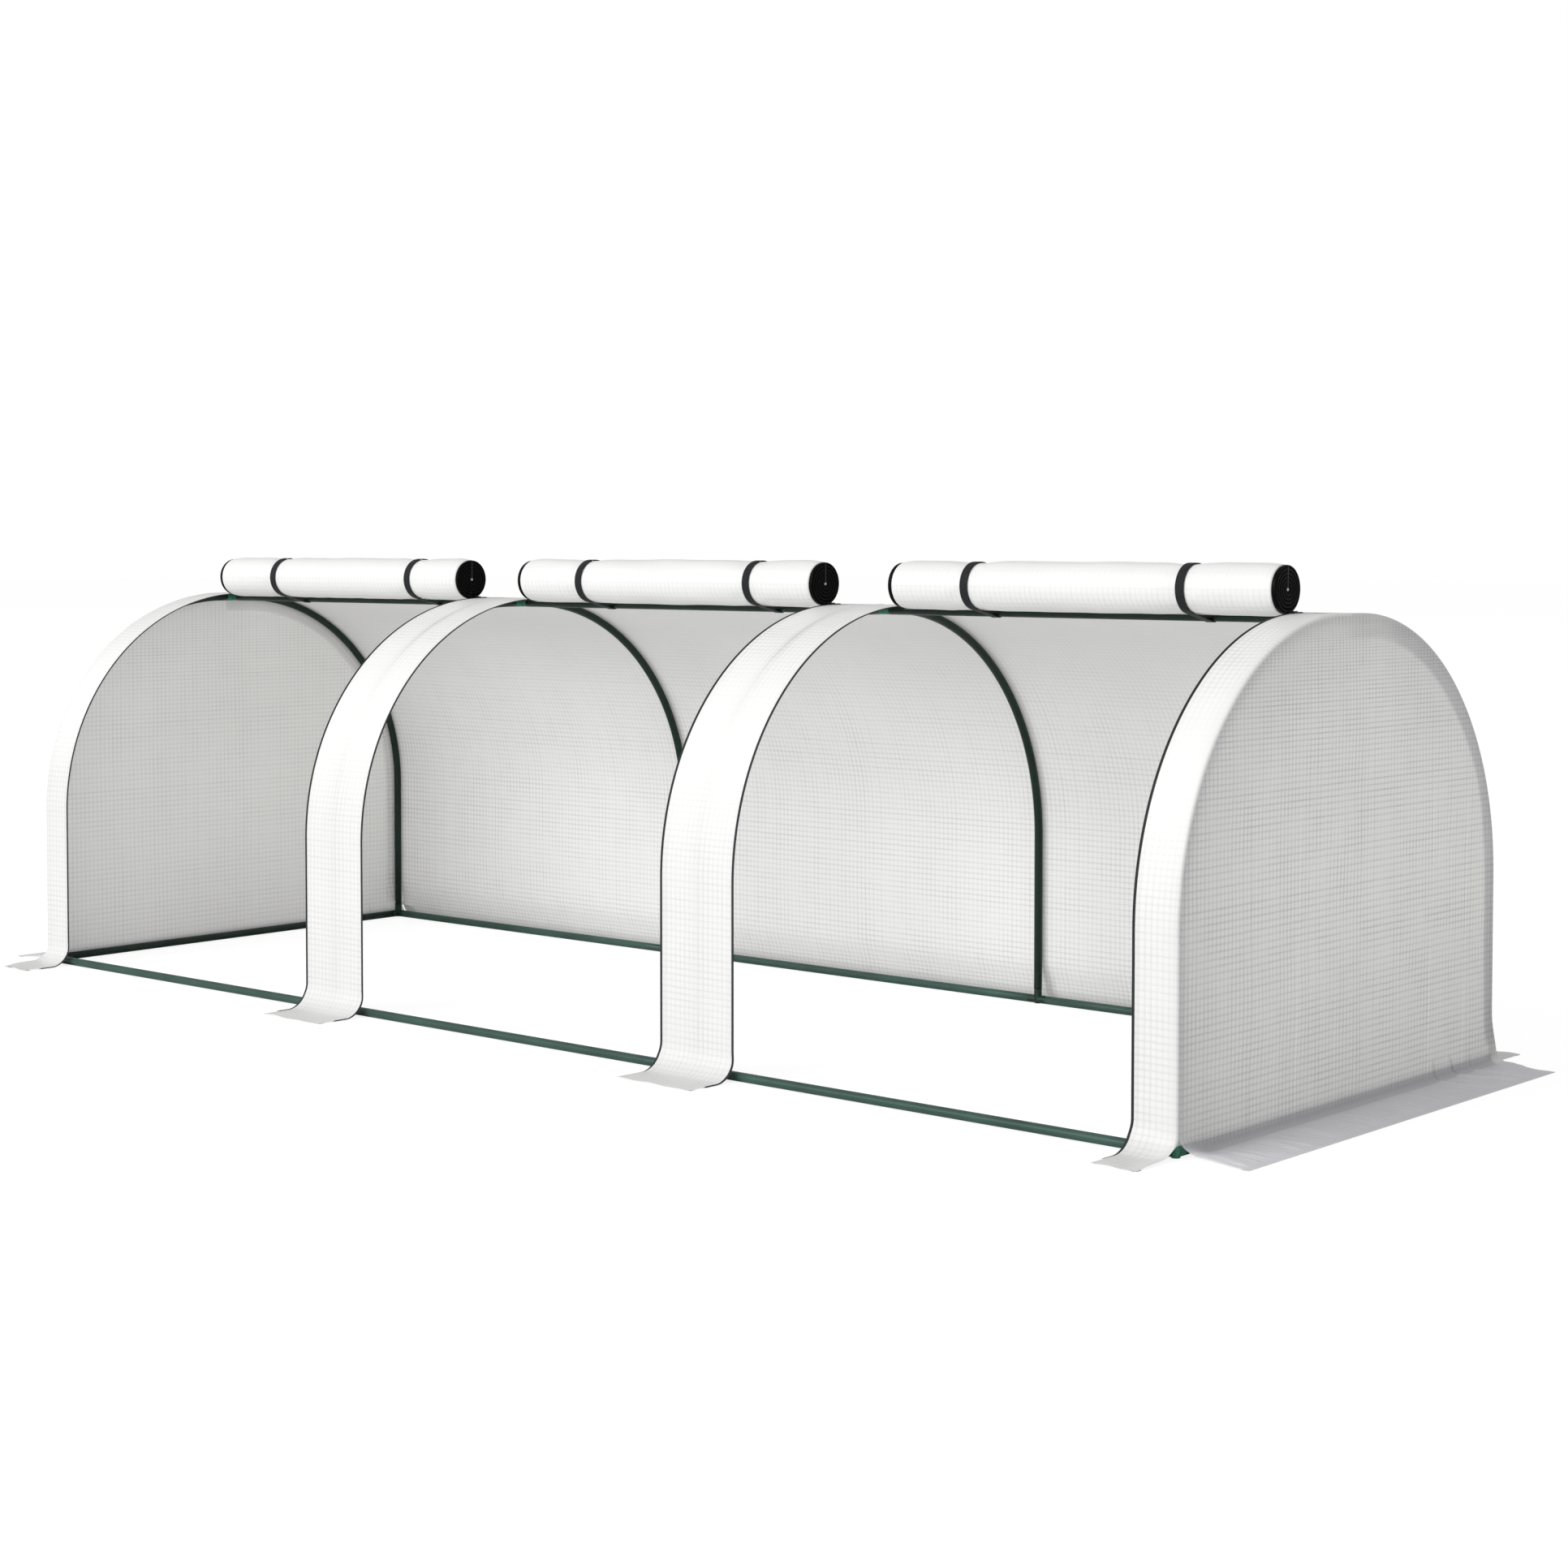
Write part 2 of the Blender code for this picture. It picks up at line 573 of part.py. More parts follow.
def build():
    """Clears the scene and makes the whole tunnel."""
    for obj in list(bpy.data.objects):
        bpy.data.objects.remove(obj)
    steel = make_material("green_powder_coated_steel", (0.020, 0.050, 0.038), 0.42, 0.2)
    plastic = make_material("green_moulded_plastic", (0.045, 0.150, 0.100), 0.45)
    sheet = make_material("white_reinforced_sheet", (0.86, 0.86, 0.86), 0.50)
    tape = make_material("black_zip_tape", (0.012, 0.012, 0.013), 0.60)
    webbing = make_material("black_webbing", (0.020, 0.020, 0.022), 0.75)
    metal = make_material("zip_metal", (0.080, 0.080, 0.085), 0.35, 0.8)
    make_tubes(steel)
    make_plugs(plastic)
    make_roof(sheet)
    make_front_strips(sheet)
    make_end("left", -1, sheet)
    make_end("right", 1, sheet)
    for number in range(1, BAYS + 1):
        make_door(number, sheet, tape, webbing, metal)


build()
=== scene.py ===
import math

import bpy
import numpy as np
from mathutils import Matrix, Vector


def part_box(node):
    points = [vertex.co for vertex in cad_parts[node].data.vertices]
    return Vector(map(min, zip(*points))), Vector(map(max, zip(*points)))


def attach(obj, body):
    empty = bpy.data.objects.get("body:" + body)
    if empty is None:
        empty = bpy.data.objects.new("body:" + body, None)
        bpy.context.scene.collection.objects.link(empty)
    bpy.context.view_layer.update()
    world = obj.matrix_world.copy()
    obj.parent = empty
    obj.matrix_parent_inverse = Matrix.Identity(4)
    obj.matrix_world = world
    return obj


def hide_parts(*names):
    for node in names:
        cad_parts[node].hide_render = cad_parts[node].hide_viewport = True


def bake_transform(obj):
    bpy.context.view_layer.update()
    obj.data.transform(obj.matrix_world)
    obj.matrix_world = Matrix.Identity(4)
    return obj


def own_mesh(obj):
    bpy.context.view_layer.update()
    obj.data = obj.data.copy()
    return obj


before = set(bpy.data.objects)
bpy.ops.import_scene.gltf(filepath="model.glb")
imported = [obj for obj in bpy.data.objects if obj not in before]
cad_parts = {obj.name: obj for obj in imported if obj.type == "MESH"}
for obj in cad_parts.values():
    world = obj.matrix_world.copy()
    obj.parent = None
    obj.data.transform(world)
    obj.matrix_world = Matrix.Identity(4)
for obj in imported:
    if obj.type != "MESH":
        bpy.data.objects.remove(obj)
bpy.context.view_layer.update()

# Sizes repeated from the solids
HALF_WIDTH = 0.500
CROWN_HALF = 0.035
SHEET = 0.001
FLARE_RADIUS = 0.045
SKIRT_REACH = 0.108
END_SKIRT_REACH = 0.120
END_FLARE_RADIUS = 0.012
ROOF_FRONT_EDGE = 0.012
TUBE_RADIUS = 0.008
TUBE_BORE = 0.0072
TUBE_INSET = 0.0093
HUB_REACH = 0.0203
ZIP_WIDTH = 0.005
ZIP_STOP = 0.036
ROLL_RADIUS = 0.0445
ROLL_FRONT_OFFSET = 0.055
ROLL_SAG = 0.0057
ROLL_PINCH = 0.0035
ROLL_PINCH_RAMP = 0.060
ROLL_END_INSET = 0.0036
ROLL_END_PINCH = 0.0030
ROLL_END_RAMP = 0.035
ROLL_LAP = 0.0012
WOUND_ZIP_WIDTH = 0.0075
WOUND_ZIP_RADIUS = 0.0405
STRAP_WIDTH = 0.017
STRAP_THICKNESS = 0.0012
GAP = 0.0003
DOOR_SWING = math.radians(85)

# Places read from the frame
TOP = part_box("roof_rear_panel")[1].z
COVER_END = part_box("roof_rear_panel")[1].x
BEND_RADIUS = HALF_WIDTH - CROWN_HALF
LEG_TOP = TOP - BEND_RADIUS
RAIL_Y = HALF_WIDTH - TUBE_INSET
RIDGE_Z = TOP - TUBE_INSET
RAIL_Z = TUBE_RADIUS
HOOPS = (1, 2, 3, 4)
DOORS = (1, 2, 3)


def middle_x(node):
    """Where the middle of a node lies along the ridge."""
    low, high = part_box(node)
    return (low.x + high.x) / 2


HOOP_X = {n: middle_x(f"hoop_{n}_front") for n in HOOPS}
DOOR_X = {n: tuple(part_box(f"door_{n}_roll")[k].x + s * ROLL_END_INSET for k, s in ((0, -1), (1, 1))) for n in DOORS}

# Lengths of cloth along half the section, from the ridge down
BEND_END = CROWN_HALF + BEND_RADIUS * math.pi / 2
FLARE_TOP = SHEET + FLARE_RADIUS
LEG_END = BEND_END + LEG_TOP - FLARE_TOP
TIP = LEG_END + FLARE_RADIUS * math.pi / 2 + SKIRT_REACH - FLARE_RADIUS
HEM = 0.014
HEM_FOLD = 0.0008

# How the sheets meet at the ends of the tunnel
CORNER = 0.0045
SEAM_STEP = 0.0004
SEAM_INSET = 0.0035
ROOF_SEAM_HEM = 0.036
STRIP_SEAM_HEM = 0.010
CORNER_FLARE = 0.035
CORNER_RISE = 0.007

# Camera and stage
CAMERA_PLACE = (3.65062, -3.88792, 0.90400)
CAMERA_YAW = 0.71990
CAMERA_PITCH = 0.04253
CAMERA_ROLL = 0.00051
FOCAL_PIXELS = 3364.3
AXIS_ABOVE_MIDDLE = 149.4
PHOTO_PIXELS = 1932
SENSOR = 36.0

# Least height of cloth over the ground, and the radius that closes the end of a thin piece
GROUND_FILM = 0.0002
CLOSED = 0.0001


def linear(hex_colour):
    """An sRGB hex colour as linear red, green, blue and a full alpha."""
    values = np.array([int(hex_colour[k:k + 2], 16) for k in (1, 3, 5)]) / 255
    flat = np.where(values <= 0.04045, values / 12.92, ((values + 0.055) / 1.055) ** 2.4)
    return (*flat.tolist(), 1.0)


def node(tree, kind, inputs=None, **settings):
    """Adds a shader node; inputs hold plain values, sockets or nodes to link, settings its properties."""
    made = tree.nodes.new("ShaderNode" + kind)
    for name, value in settings.items():
        setattr(made, name, value)
    for key, value in (inputs or {}).items():
        if isinstance(value, bpy.types.Node):
            value = value.outputs[0]
        if isinstance(value, bpy.types.NodeSocket):
            tree.links.new(value, made.inputs[key])
        else:
            made.inputs[key].default_value = value
    return made


def new_material(name):
    """An empty material and its node tree."""
    material = bpy.data.materials.new(name)
    material.use_nodes = True
    material.node_tree.nodes.clear()
    return material, material.node_tree


def make_camera():
    """The camera at the place and angle fitted to the photograph's hoops and rails."""
    forward = Vector((-math.sin(CAMERA_YAW) * math.cos(CAMERA_PITCH),
                      math.cos(CAMERA_YAW) * math.cos(CAMERA_PITCH), -math.sin(CAMERA_PITCH)))
    right = Vector((math.cos(CAMERA_YAW), math.sin(CAMERA_YAW), 0.0))
    up = right.cross(forward)
    turned_right = right * math.cos(CAMERA_ROLL) + up * math.sin(CAMERA_ROLL)
    turned_up = up * math.cos(CAMERA_ROLL) - right * math.sin(CAMERA_ROLL)
    data = bpy.data.cameras.new("camera")
    data.sensor_width = SENSOR
    data.lens = FOCAL_PIXELS / PHOTO_PIXELS * SENSOR
    data.shift_y = -AXIS_ABOVE_MIDDLE / PHOTO_PIXELS
    camera = bpy.data.objects.new("camera", data)
    bpy.context.scene.collection.objects.link(camera)
    turn = Matrix((turned_right, turned_up, -forward)).transposed()
    camera.matrix_world = Matrix.Translation(CAMERA_PLACE) @ turn.to_4x4()
    bpy.context.scene.camera = camera


make_camera()

FLOOR_HALF = 60.0
FLOOR_DROP = 0.0006
AMBIENT = 0.575
FLOOR_WHITE = "#F5F5F5"
SHADOW_SHARE = 0.28
FLOOR_GLOW = 1.17
LAMP_TARGET = (0.0, 0.0, 0.35)


def make_stage():
    """A white floor that keeps a faint shadow, a white world and soft studio lamps."""
    material, tree = new_material("studio_floor")
    lit = node(tree, "BsdfDiffuse", {"Color": linear(FLOOR_WHITE)})
    white = node(tree, "Emission", {"Color": (1, 1, 1, 1), "Strength": FLOOR_GLOW})
    path = node(tree, "LightPath")
    seen = node(tree, "Math", {0: path.outputs["Is Camera Ray"], 1: 1 - SHADOW_SHARE}, operation="MULTIPLY")
    mix = node(tree, "MixShader", {0: seen, 1: lit, 2: white})
    node(tree, "OutputMaterial", {"Surface": mix})
    x, y = np.meshgrid([-FLOOR_HALF, FLOOR_HALF], [-FLOOR_HALF, FLOOR_HALF])
    surface("studio_floor_plane", stacked(x, y, -FLOOR_DROP), None, material)
    world = bpy.data.worlds.new("studio_world")
    bpy.context.scene.world = world
    world.use_nodes = True
    tree = world.node_tree
    tree.nodes.clear()
    path = node(tree, "LightPath")
    strength = node(tree, "MapRange", {"Value": path.outputs["Is Camera Ray"], "To Min": AMBIENT,
                                                 "To Max": 1.0})
    sky = node(tree, "Background", {"Color": (1, 1, 1, 1), "Strength": strength})
    node(tree, "OutputWorld", {"Surface": sky})
    lamp("key_softbox", (-8.5, -20.0, 11.0), 15.0, 3350.0)
    lamp("fill_softbox", (3.0, -12.0, 1.8), 8.0, 230.0)
    bpy.context.scene.view_settings.view_transform = "Standard"


def lamp(name, place, size, power):
    """A square softbox at a place, aimed at the middle of the tunnel."""
    data = bpy.data.lights.new(name, "AREA")
    data.size, data.energy = size, power
    obj = bpy.data.objects.new(name, data)
    obj.location = place
    obj.rotation_mode = "QUATERNION"
    obj.rotation_quaternion = (Vector(LAMP_TARGET) - Vector(place)).to_track_quat("-Z", "Y")
    bpy.context.scene.collection.objects.link(obj)


def stacked(*parts):
    """Numbers or arrays, brought to one shape and laid side by side along a new last axis."""
    return np.stack(np.broadcast_arrays(*parts), axis=-1)


def cells(rows, columns, across):
    """The four corners of each cell of a grid, across cells to a row; past its last column a row starts again."""
    r, c = np.meshgrid(np.arange(rows - 1), np.arange(across), indexing="ij")
    right = (c + 1) % columns
    upper, lower = r * columns, (r + 1) * columns
    return stacked(upper + c, upper + right, lower + right, lower + c).reshape(-1, 4)


def fill(target, key, values, kind=np.float32):
    """Writes an array to one property of a mesh's elements."""
    target.foreach_set(key, np.ascontiguousarray(values, dtype=kind).ravel())


def surface(name, points, uv, material, wrap=False, flip=False, painted_light_and_threads=None):
    """A mesh from a grid of points, rows by columns; wrap joins the last column to the first.

    Each cell is one quad of four neighbouring grid points. uv has the grid's shape with two values;
    with wrap it has one column more, so that the seam doesn't run backwards. The last argument gives each
    point a colour that the sheet's material is multiplied by, which holds painted light and shade, and how
    clearly the threads show there.
    """
    rows, columns = points.shape[:2]
    across = columns if wrap else columns - 1
    corners, uv_corners = cells(rows, columns, across), cells(rows, columns + wrap, across)
    if flip:
        corners, uv_corners = corners[:, ::-1], uv_corners[:, ::-1]
    mesh = bpy.data.meshes.new(name)
    mesh.vertices.add(rows * columns)
    fill(mesh.vertices, "co", points)
    mesh.loops.add(corners.size)
    fill(mesh.loops, "vertex_index", corners, np.int32)
    mesh.polygons.add(len(corners))
    fill(mesh.polygons, "loop_start", np.arange(len(corners)) * 4, np.int32)
    mesh.update(calc_edges=True)
    fill(mesh.polygons, "use_smooth", np.ones(len(corners)), bool)
    if uv is not None:
        fill(mesh.uv_layers.new(name="cloth").data, "uv", uv.reshape(-1, 2)[uv_corners.ravel()])
    if painted_light_and_threads is not None:
        colours = mesh.color_attributes.new("painted_light_and_threads", "FLOAT_COLOR", "POINT").data
        fill(colours, "color", np.broadcast_to(painted_light_and_threads, (rows, columns, 4)))
    mesh.validate()
    mesh.materials.append(material)
    obj = bpy.data.objects.new(name, mesh)
    bpy.context.scene.collection.objects.link(obj)
    return obj


def settle(piece, body, replaced=None):
    """Puts a piece on the body it rides on, and hides the solid it stands for."""
    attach(piece, body)
    if replaced:
        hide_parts(replaced)


# Materials; all pitches and widths are in metres
GRID_PITCH = 0.0108
THREAD_WIDTH = 0.0034
THREAD_BASE = 0.33
THREAD_SHARES = ((1, 0.35), (8, 0.27))
CREASE_DEPTH = 0.0005
NET_RELIEF = 2.5
RIB_PITCH = 0.0016
WARP_PITCH = 0.00208


def cell_line(tree, coordinate, pitch, width):
    """1 on threads that repeat every pitch along a coordinate and are width wide, 0 in the film between."""
    turns = node(tree, "Math", {0: coordinate, 1: pitch}, operation="DIVIDE")
    wave = node(tree, "Math", {0: turns, 1: 0.5}, operation="PINGPONG")
    half = width / pitch / 2
    return node(tree, "MapRange", {"Value": wave, "From Min": half * 1.6, "From Max": half * 0.4},
                interpolation_type="SMOOTHSTEP")


def thread_weight(tree, coordinate, shift):
    """How dark each thread is: one random number for each, and a slower one for each band of eight."""
    total = THREAD_BASE
    for count, share in THREAD_SHARES:
        turns = node(tree, "Math", {0: coordinate, 1: GRID_PITCH * count}, operation="DIVIDE")
        index = node(tree, "Math", {0: turns}, operation="ROUND")
        moved = node(tree, "Math", {0: index, 1: shift + count})
        chance = node(tree, "TexWhiteNoise", {"W": moved}, noise_dimensions="1D")
        part = node(tree, "Math", {0: chance, 1: share}, operation="MULTIPLY")
        total = node(tree, "Math", {0: part, 1: total})
    return total


def reinforced_sheet(name, film, thread, film_glow, thread_glow, let_through):
    """Polyethylene film laminated over a woven scrim: satin white, a faint square grid, light glows through.

    The threads lie every 11 mm both ways, unevenly dark, so that they read as a plaid; they hold back more
    of the light that comes through than of the light that falls on them. They are drawn coarser than real
    ones, so that they show. Slow clouds come from uneven coating. A colour attribute multiplies in painted
    shade where the frame or a hem lies behind the sheet and painted light and shade elsewhere; its alpha says
    how clearly the threads show.
    """
    material, tree = new_material(name)
    uv = node(tree, "UVMap", uv_map="cloth")
    parts = node(tree, "SeparateXYZ", {0: uv})
    nets = []
    for axis, shift in (("X", 11.0), ("Y", 57.0)):
        line = cell_line(tree, parts.outputs[axis], GRID_PITCH, THREAD_WIDTH)
        weight = thread_weight(tree, parts.outputs[axis], shift)
        nets.append(node(tree, "Math", {0: line, 1: weight}, operation="MULTIPLY"))
    net = node(tree, "Math", {0: nets[0], 1: nets[1]})
    # Painted shade and light in its colour, and in its alpha how clearly the threads show
    painted_light_and_threads = node(tree, "Attribute", attribute_name="painted_light_and_threads")
    shown = node(tree, "Math", {0: net, 1: painted_light_and_threads.outputs["Alpha"]}, operation="MULTIPLY")
    capped = node(tree, "Math", {0: shown, 1: 1.0}, operation="MINIMUM")
    uneven = node(tree, "TexNoise", {"Vector": uv, "Scale": 14.0, "Detail": 3.0})
    faded = node(tree, "MapRange", {"Value": uneven, "From Min": 0.35, "From Max": 0.65, "To Min": 0.6, "To Max": 1.0})
    seen = node(tree, "Math", {0: capped, 1: faded}, operation="MULTIPLY")
    clouds = node(tree, "TexNoise", {"Vector": uv, "Scale": 3.5, "Detail": 4.0})
    shade = node(tree, "MapRange", {"Value": clouds, "From Min": 0.3, "From Max": 0.7, "To Min": 0.965, "To Max": 1.0})
    cast = node(tree, "VectorMath", {0: painted_light_and_threads.outputs["Vector"], 3: shade}, operation="SCALE")
    toned = []
    for low, high in ((film, thread), (film_glow, thread_glow)):
        colour = node(tree, "Mix", {0: seen, 6: linear(low), 7: linear(high)}, data_type="RGBA")
        toned.append(node(tree, "VectorMath", {0: colour.outputs[2], 1: cast}, operation="MULTIPLY"))
    creases = node(tree, "TexNoise", {"Vector": uv, "Scale": 38.0, "Detail": 5.0, "Distortion": 0.6})
    height = node(tree, "Math", {0: creases, 1: NET_RELIEF, 2: shown}, operation="MULTIPLY_ADD")
    bump = node(tree, "Bump", {"Strength": 0.35, "Distance": CREASE_DEPTH, "Height": height})
    rough = node(tree, "MapRange", {"Value": capped, "To Min": 0.46, "To Max": 0.58})
    skin = node(tree, "BsdfPrincipled", {"Base Color": toned[0], "Roughness": rough, "IOR": 1.51, "Normal": bump})
    glow = node(tree, "BsdfTranslucent", {"Color": toned[1], "Normal": bump})
    mix = node(tree, "MixShader", {0: let_through, 1: skin, 2: glow})
    node(tree, "OutputMaterial", {"Surface": mix})
    return material


def two_coloured(tree, share, dark, light, inputs, relief=None):
    """The end of an opaque finish: a skin whose colour runs from dark to light by a share.

    inputs are the skin's other settings, and relief the bump's strength, depth in metres and height.
    """
    colour = node(tree, "Mix", {0: share, 6: linear(dark), 7: linear(light)}, data_type="RGBA")
    inputs = {"Base Color": colour.outputs[2], **inputs}
    if relief:
        inputs["Normal"] = node(tree, "Bump", dict(zip(("Strength", "Distance", "Height"), relief)))
    node(tree, "OutputMaterial", {"Surface": node(tree, "BsdfPrincipled", inputs)})


def fine_finish(name, dark, light, patches, band, rough, inputs, grain=None):
    """The finish of a rigid piece on Object coordinates: slow patches between two colours, and a fine grain.

    patches is the scale and detail of the patches' noise, and band the part of it that runs from dark to
    light. rough holds the two ends of the roughness that follows it, where it isn't one number among the
    inputs. grain is the scale of the bump's noise, its strength and its depth.
    """
    material, tree = new_material(name)
    place = node(tree, "TexCoord").outputs["Object"]
    cloud = node(tree, "TexNoise", {"Vector": place, "Scale": patches[0], "Detail": patches[1]})
    share = node(tree, "MapRange", {"Value": cloud, "From Min": band[0], "From Max": band[1]})
    if rough:
        inputs["Roughness"] = node(tree, "MapRange", {"Value": cloud, "To Min": rough[0], "To Max": rough[1]})
    relief = grain and (*grain[1:], node(tree, "TexNoise", {"Vector": place, "Scale": grain[0], "Detail": 2.0}))
    two_coloured(tree, share, dark, light, inputs, relief)
    return material


def powder_coated_steel(name, dark, light):
    """Powder-coated steel tube: deep green, semi-gloss, with the slight orange peel of baked powder."""
    return fine_finish(name, dark, light, (9.0, 4.0), (0.3, 0.7), (0.32, 0.44),
                       {"IOR": 1.5, "Specular IOR Level": 0.27}, (420.0, 0.12, 0.0003))


def moulded_polypropylene(name, dark, light):
    """Injection-moulded polypropylene: green and waxy, with faint flow marks and a fine mould grain."""
    return fine_finish(name, dark, light, (60.0, 3.0), (0.3, 0.7), None,
                       {"Roughness": 0.46, "IOR": 1.49, "Specular IOR Level": 0.3}, (900.0, 0.15, 0.0002))


def nylon_coil(name, dark, light, rough, specular):
    """Nylon monofilament and thread: smoother and shinier than the tape it is sewn to, rubbed unevenly."""
    return fine_finish(name, dark, light, (120.0, 3.0), (0.0, 1.0), (rough * 0.8, rough * 1.2),
                       {"IOR": 1.53, "Specular IOR Level": specular})


def painted_zinc(name, paint, bare):
    """Zinc die casting: painted and satin on the sliders, rubbed brighter where fingers hold it."""
    material, tree = new_material(name)
    rub = node(tree, "TexNoise", {"Vector": node(tree, "TexCoord").outputs["Object"], "Scale": 700.0, "Detail": 4.0})
    worn = node(tree, "MapRange", {"Value": rub, "From Min": 0.58, "From Max": 0.75})
    two_coloured(tree, worn, paint, bare, {"Roughness": 0.36, "Metallic": worn})
    return material


def polypropylene_webbing():
    """Woven polypropylene webbing: charcoal, dull, with a rib across it at every weft thread."""
    material, tree = new_material("polypropylene_webbing")
    parts = node(tree, "SeparateXYZ", {0: node(tree, "UVMap", uv_map="cloth")})
    ribs = cell_line(tree, parts.outputs["Y"], RIB_PITCH, RIB_PITCH * 0.7)
    warp = cell_line(tree, parts.outputs["X"], WARP_PITCH, RIB_PITCH * 0.6)
    weave = node(tree, "Math", {0: ribs, 1: warp})
    two_coloured(tree, ribs, "#121315", "#1F2124", {"Roughness": 0.6, "Specular IOR Level": 0.22},
                 (0.5, 0.0004, weave))
    return material


def polyester_zip_tape():
    """Woven polyester zip tape: charcoal and matt, with a fine herringbone you feel more than see."""
    material, tree = new_material("polyester_zip_tape")
    place = node(tree, "TexCoord").outputs["Object"]
    weave = node(tree, "TexWave", {"Vector": place, "Scale": 260.0, "Distortion": 1.5},
                 bands_direction="DIAGONAL").outputs[1]
    two_coloured(tree, weave, "#26282A", "#34373A", {"Roughness": 0.6, "Specular IOR Level": 0.25},
                 (0.3, 0.0003, weave))
    return material


# Shapes
def cover_line(s, lift=0.0, flare_radius=FLARE_RADIUS):
    """Points (y, z) on the cover at s metres of cloth from the ridge; negative s runs down the front.

    The half section is a flat crown, a quarter bend, a straight leg, a quarter flare the other way, a flat
    skirt, and past its tip a hem folded back under it. lift moves a point out along the section's normal.
    A tighter flare starts lower, and the foot's rows are shared out anew so that the tip stays in place.
    """
    d, side = np.abs(s), np.where(s < 0, -1.0, 1.0)
    foot = flare_radius * math.pi / 2 + FLARE_RADIUS + SKIRT_REACH - 2 * flare_radius
    length = np.minimum(d, LEG_END) + foot * np.clip((d - LEG_END) / (TIP - LEG_END), 0, 1)
    leg_end = LEG_END + FLARE_RADIUS - flare_radius
    bend = np.clip((length - CROWN_HALF) / BEND_RADIUS, 0, math.pi / 2)
    flare = np.clip((length - leg_end) / flare_radius, 0, math.pi / 2)
    leg = np.clip(length - BEND_END, 0, leg_end - BEND_END)
    out = np.clip(length - leg_end - flare_radius * math.pi / 2, 0, None)
    folded = np.clip(d - TIP, 0, None)
    y = np.minimum(d, CROWN_HALF) + BEND_RADIUS * np.sin(bend) + flare_radius * (1 - np.cos(flare)) + out - folded
    z = TOP - BEND_RADIUS * (1 - np.cos(bend)) - leg - flare_radius * np.sin(flare)
    z = z - np.clip(folded / HEM_FOLD, 0, 1) * HEM_FOLD
    turn = bend - flare
    return side * (y + lift * np.sin(turn)), z + lift * np.cos(turn)


def smooth(value, low, high):
    """0 below low, 1 above high and an S-curve between; low may be the larger."""
    t = np.clip((value - low) / (high - low), 0, 1)
    return t * t * (3 - 2 * t)


def bump_at(value, place, width):
    """A soft ridge: 1 at a place and falling off as a bell to either side."""
    return np.exp(-((value - place) / width) ** 2)


def ripple(a, b, seed, height, shortest, longest):
    """Slow uneven waves over two lengths: a sum of sines with seeded directions, lengths and starts."""
    draw = np.random.default_rng(seed)
    total = np.zeros(np.broadcast(a, b).shape)
    for _ in range(10):
        length = draw.uniform(shortest, longest)
        heading, start = draw.uniform(0, math.pi), draw.uniform(0, 2 * math.pi)
        total += np.sin((a * math.cos(heading) + b * math.sin(heading)) * 2 * math.pi / length + start)
    return total * height / 10 ** 0.5


def between_hoops(x):
    """0 at each hoop and 1 halfway between two: how far the cloth is from what holds it up."""
    pitch = HOOP_X[2] - HOOP_X[1]
    phase = np.clip((x - HOOP_X[1]) / pitch, 0, len(DOORS)) % 1.0
    return np.sin(math.pi * phase) ** 2


# Sizes of the cells, along the ridge and along the section
ROOF_CELL = (0.011, 0.009)
STRIP_CELL = (0.003, 0.006)
ROLL_CELL = 0.007
PAID_OUT_CELL = 0.020

# Sag between hoops, the press of a hoop, and waves as height, shortest and longest
SAG = 0.0035
PRESS = 0.0004
PRESS_WIDTH = 0.010
ROOF_WAVES = (0.0005, 0.10, 0.45)
STRIP_WAVES = (0.0003, 0.05, 0.30)
END_WAVES = (0.0012, 0.10, 0.50)
ROLL_WAVES = (0.0005, 0.03, 0.16)
SKIRT_WAVE = 0.0018
FOOT_WAVE = 0.0022


def wall_lift(x, s, seed):
    """How far a wall or roof sheet stands off its section: it sags between hoops and is pressed out by them."""
    d = np.abs(s)
    held = smooth(d, 0.0, 0.20) * smooth(d, LEG_END, LEG_END - 0.16)
    pressed = sum(PRESS * bump_at(x, place, PRESS_WIDTH) for place in HOOP_X.values())
    waves = ripple(x, s, seed, *ROOF_WAVES) * held * between_hoops(x) ** 0.5
    return waves - SAG * between_hoops(x) * held + pressed * smooth(d, TIP - 0.04, LEG_END)


def skirt_wave(x, s, seed, height):
    """Shallow waves that run across a skirt from the flare to its tip; they only lift it off the ground."""
    d = np.abs(s)
    wave = ripple(x, d * 0.25, seed, 1.0, 0.05, 0.30)
    return height * np.clip(wave + 0.6, 0, None) * smooth(d, LEG_END + 0.02, TIP - 0.02) * smooth(d, TIP + HEM, TIP)


def steps(low, high, size):
    """Evenly spaced values about size apart, both ends kept."""
    return np.linspace(low, high, max(2, int(round((high - low) / size)) + 1))


def section_steps(start, end, size):
    """Lengths along the section, closer together round the hem's fold."""
    values = steps(start, end, size)
    folds = [side * TIP + k * HEM_FOLD / 4 for side in (-1, 1) for k in range(-4, 5)]
    kept = [v for v in folds if start < v < end]
    return np.unique(np.concatenate([values, kept]))


def place_sheet(x, s, lift, flare_radius=FLARE_RADIUS):
    """Grid points of a sheet that follows the section: x along the ridge, (y, z) from the cover's line."""
    y, z = cover_line(s, lift, flare_radius)
    return stacked(x, y, np.maximum(z, GROUND_FILM))


CORNER_STEPS = 7
HEM_STEPS = 4


def corner_columns(side, hem):
    """Columns round the corner at one end and along the hem turned in there: place, side, angle, length."""
    angle = np.concatenate([np.linspace(0, math.pi / 2, CORNER_STEPS), np.full(HEM_STEPS, math.pi / 2)])
    length = np.concatenate([np.zeros(CORNER_STEPS), hem * np.linspace(0, 1, HEM_STEPS + 1)[1:]])
    return stacked(side * COVER_END, side, angle, length).T[:, ::side]


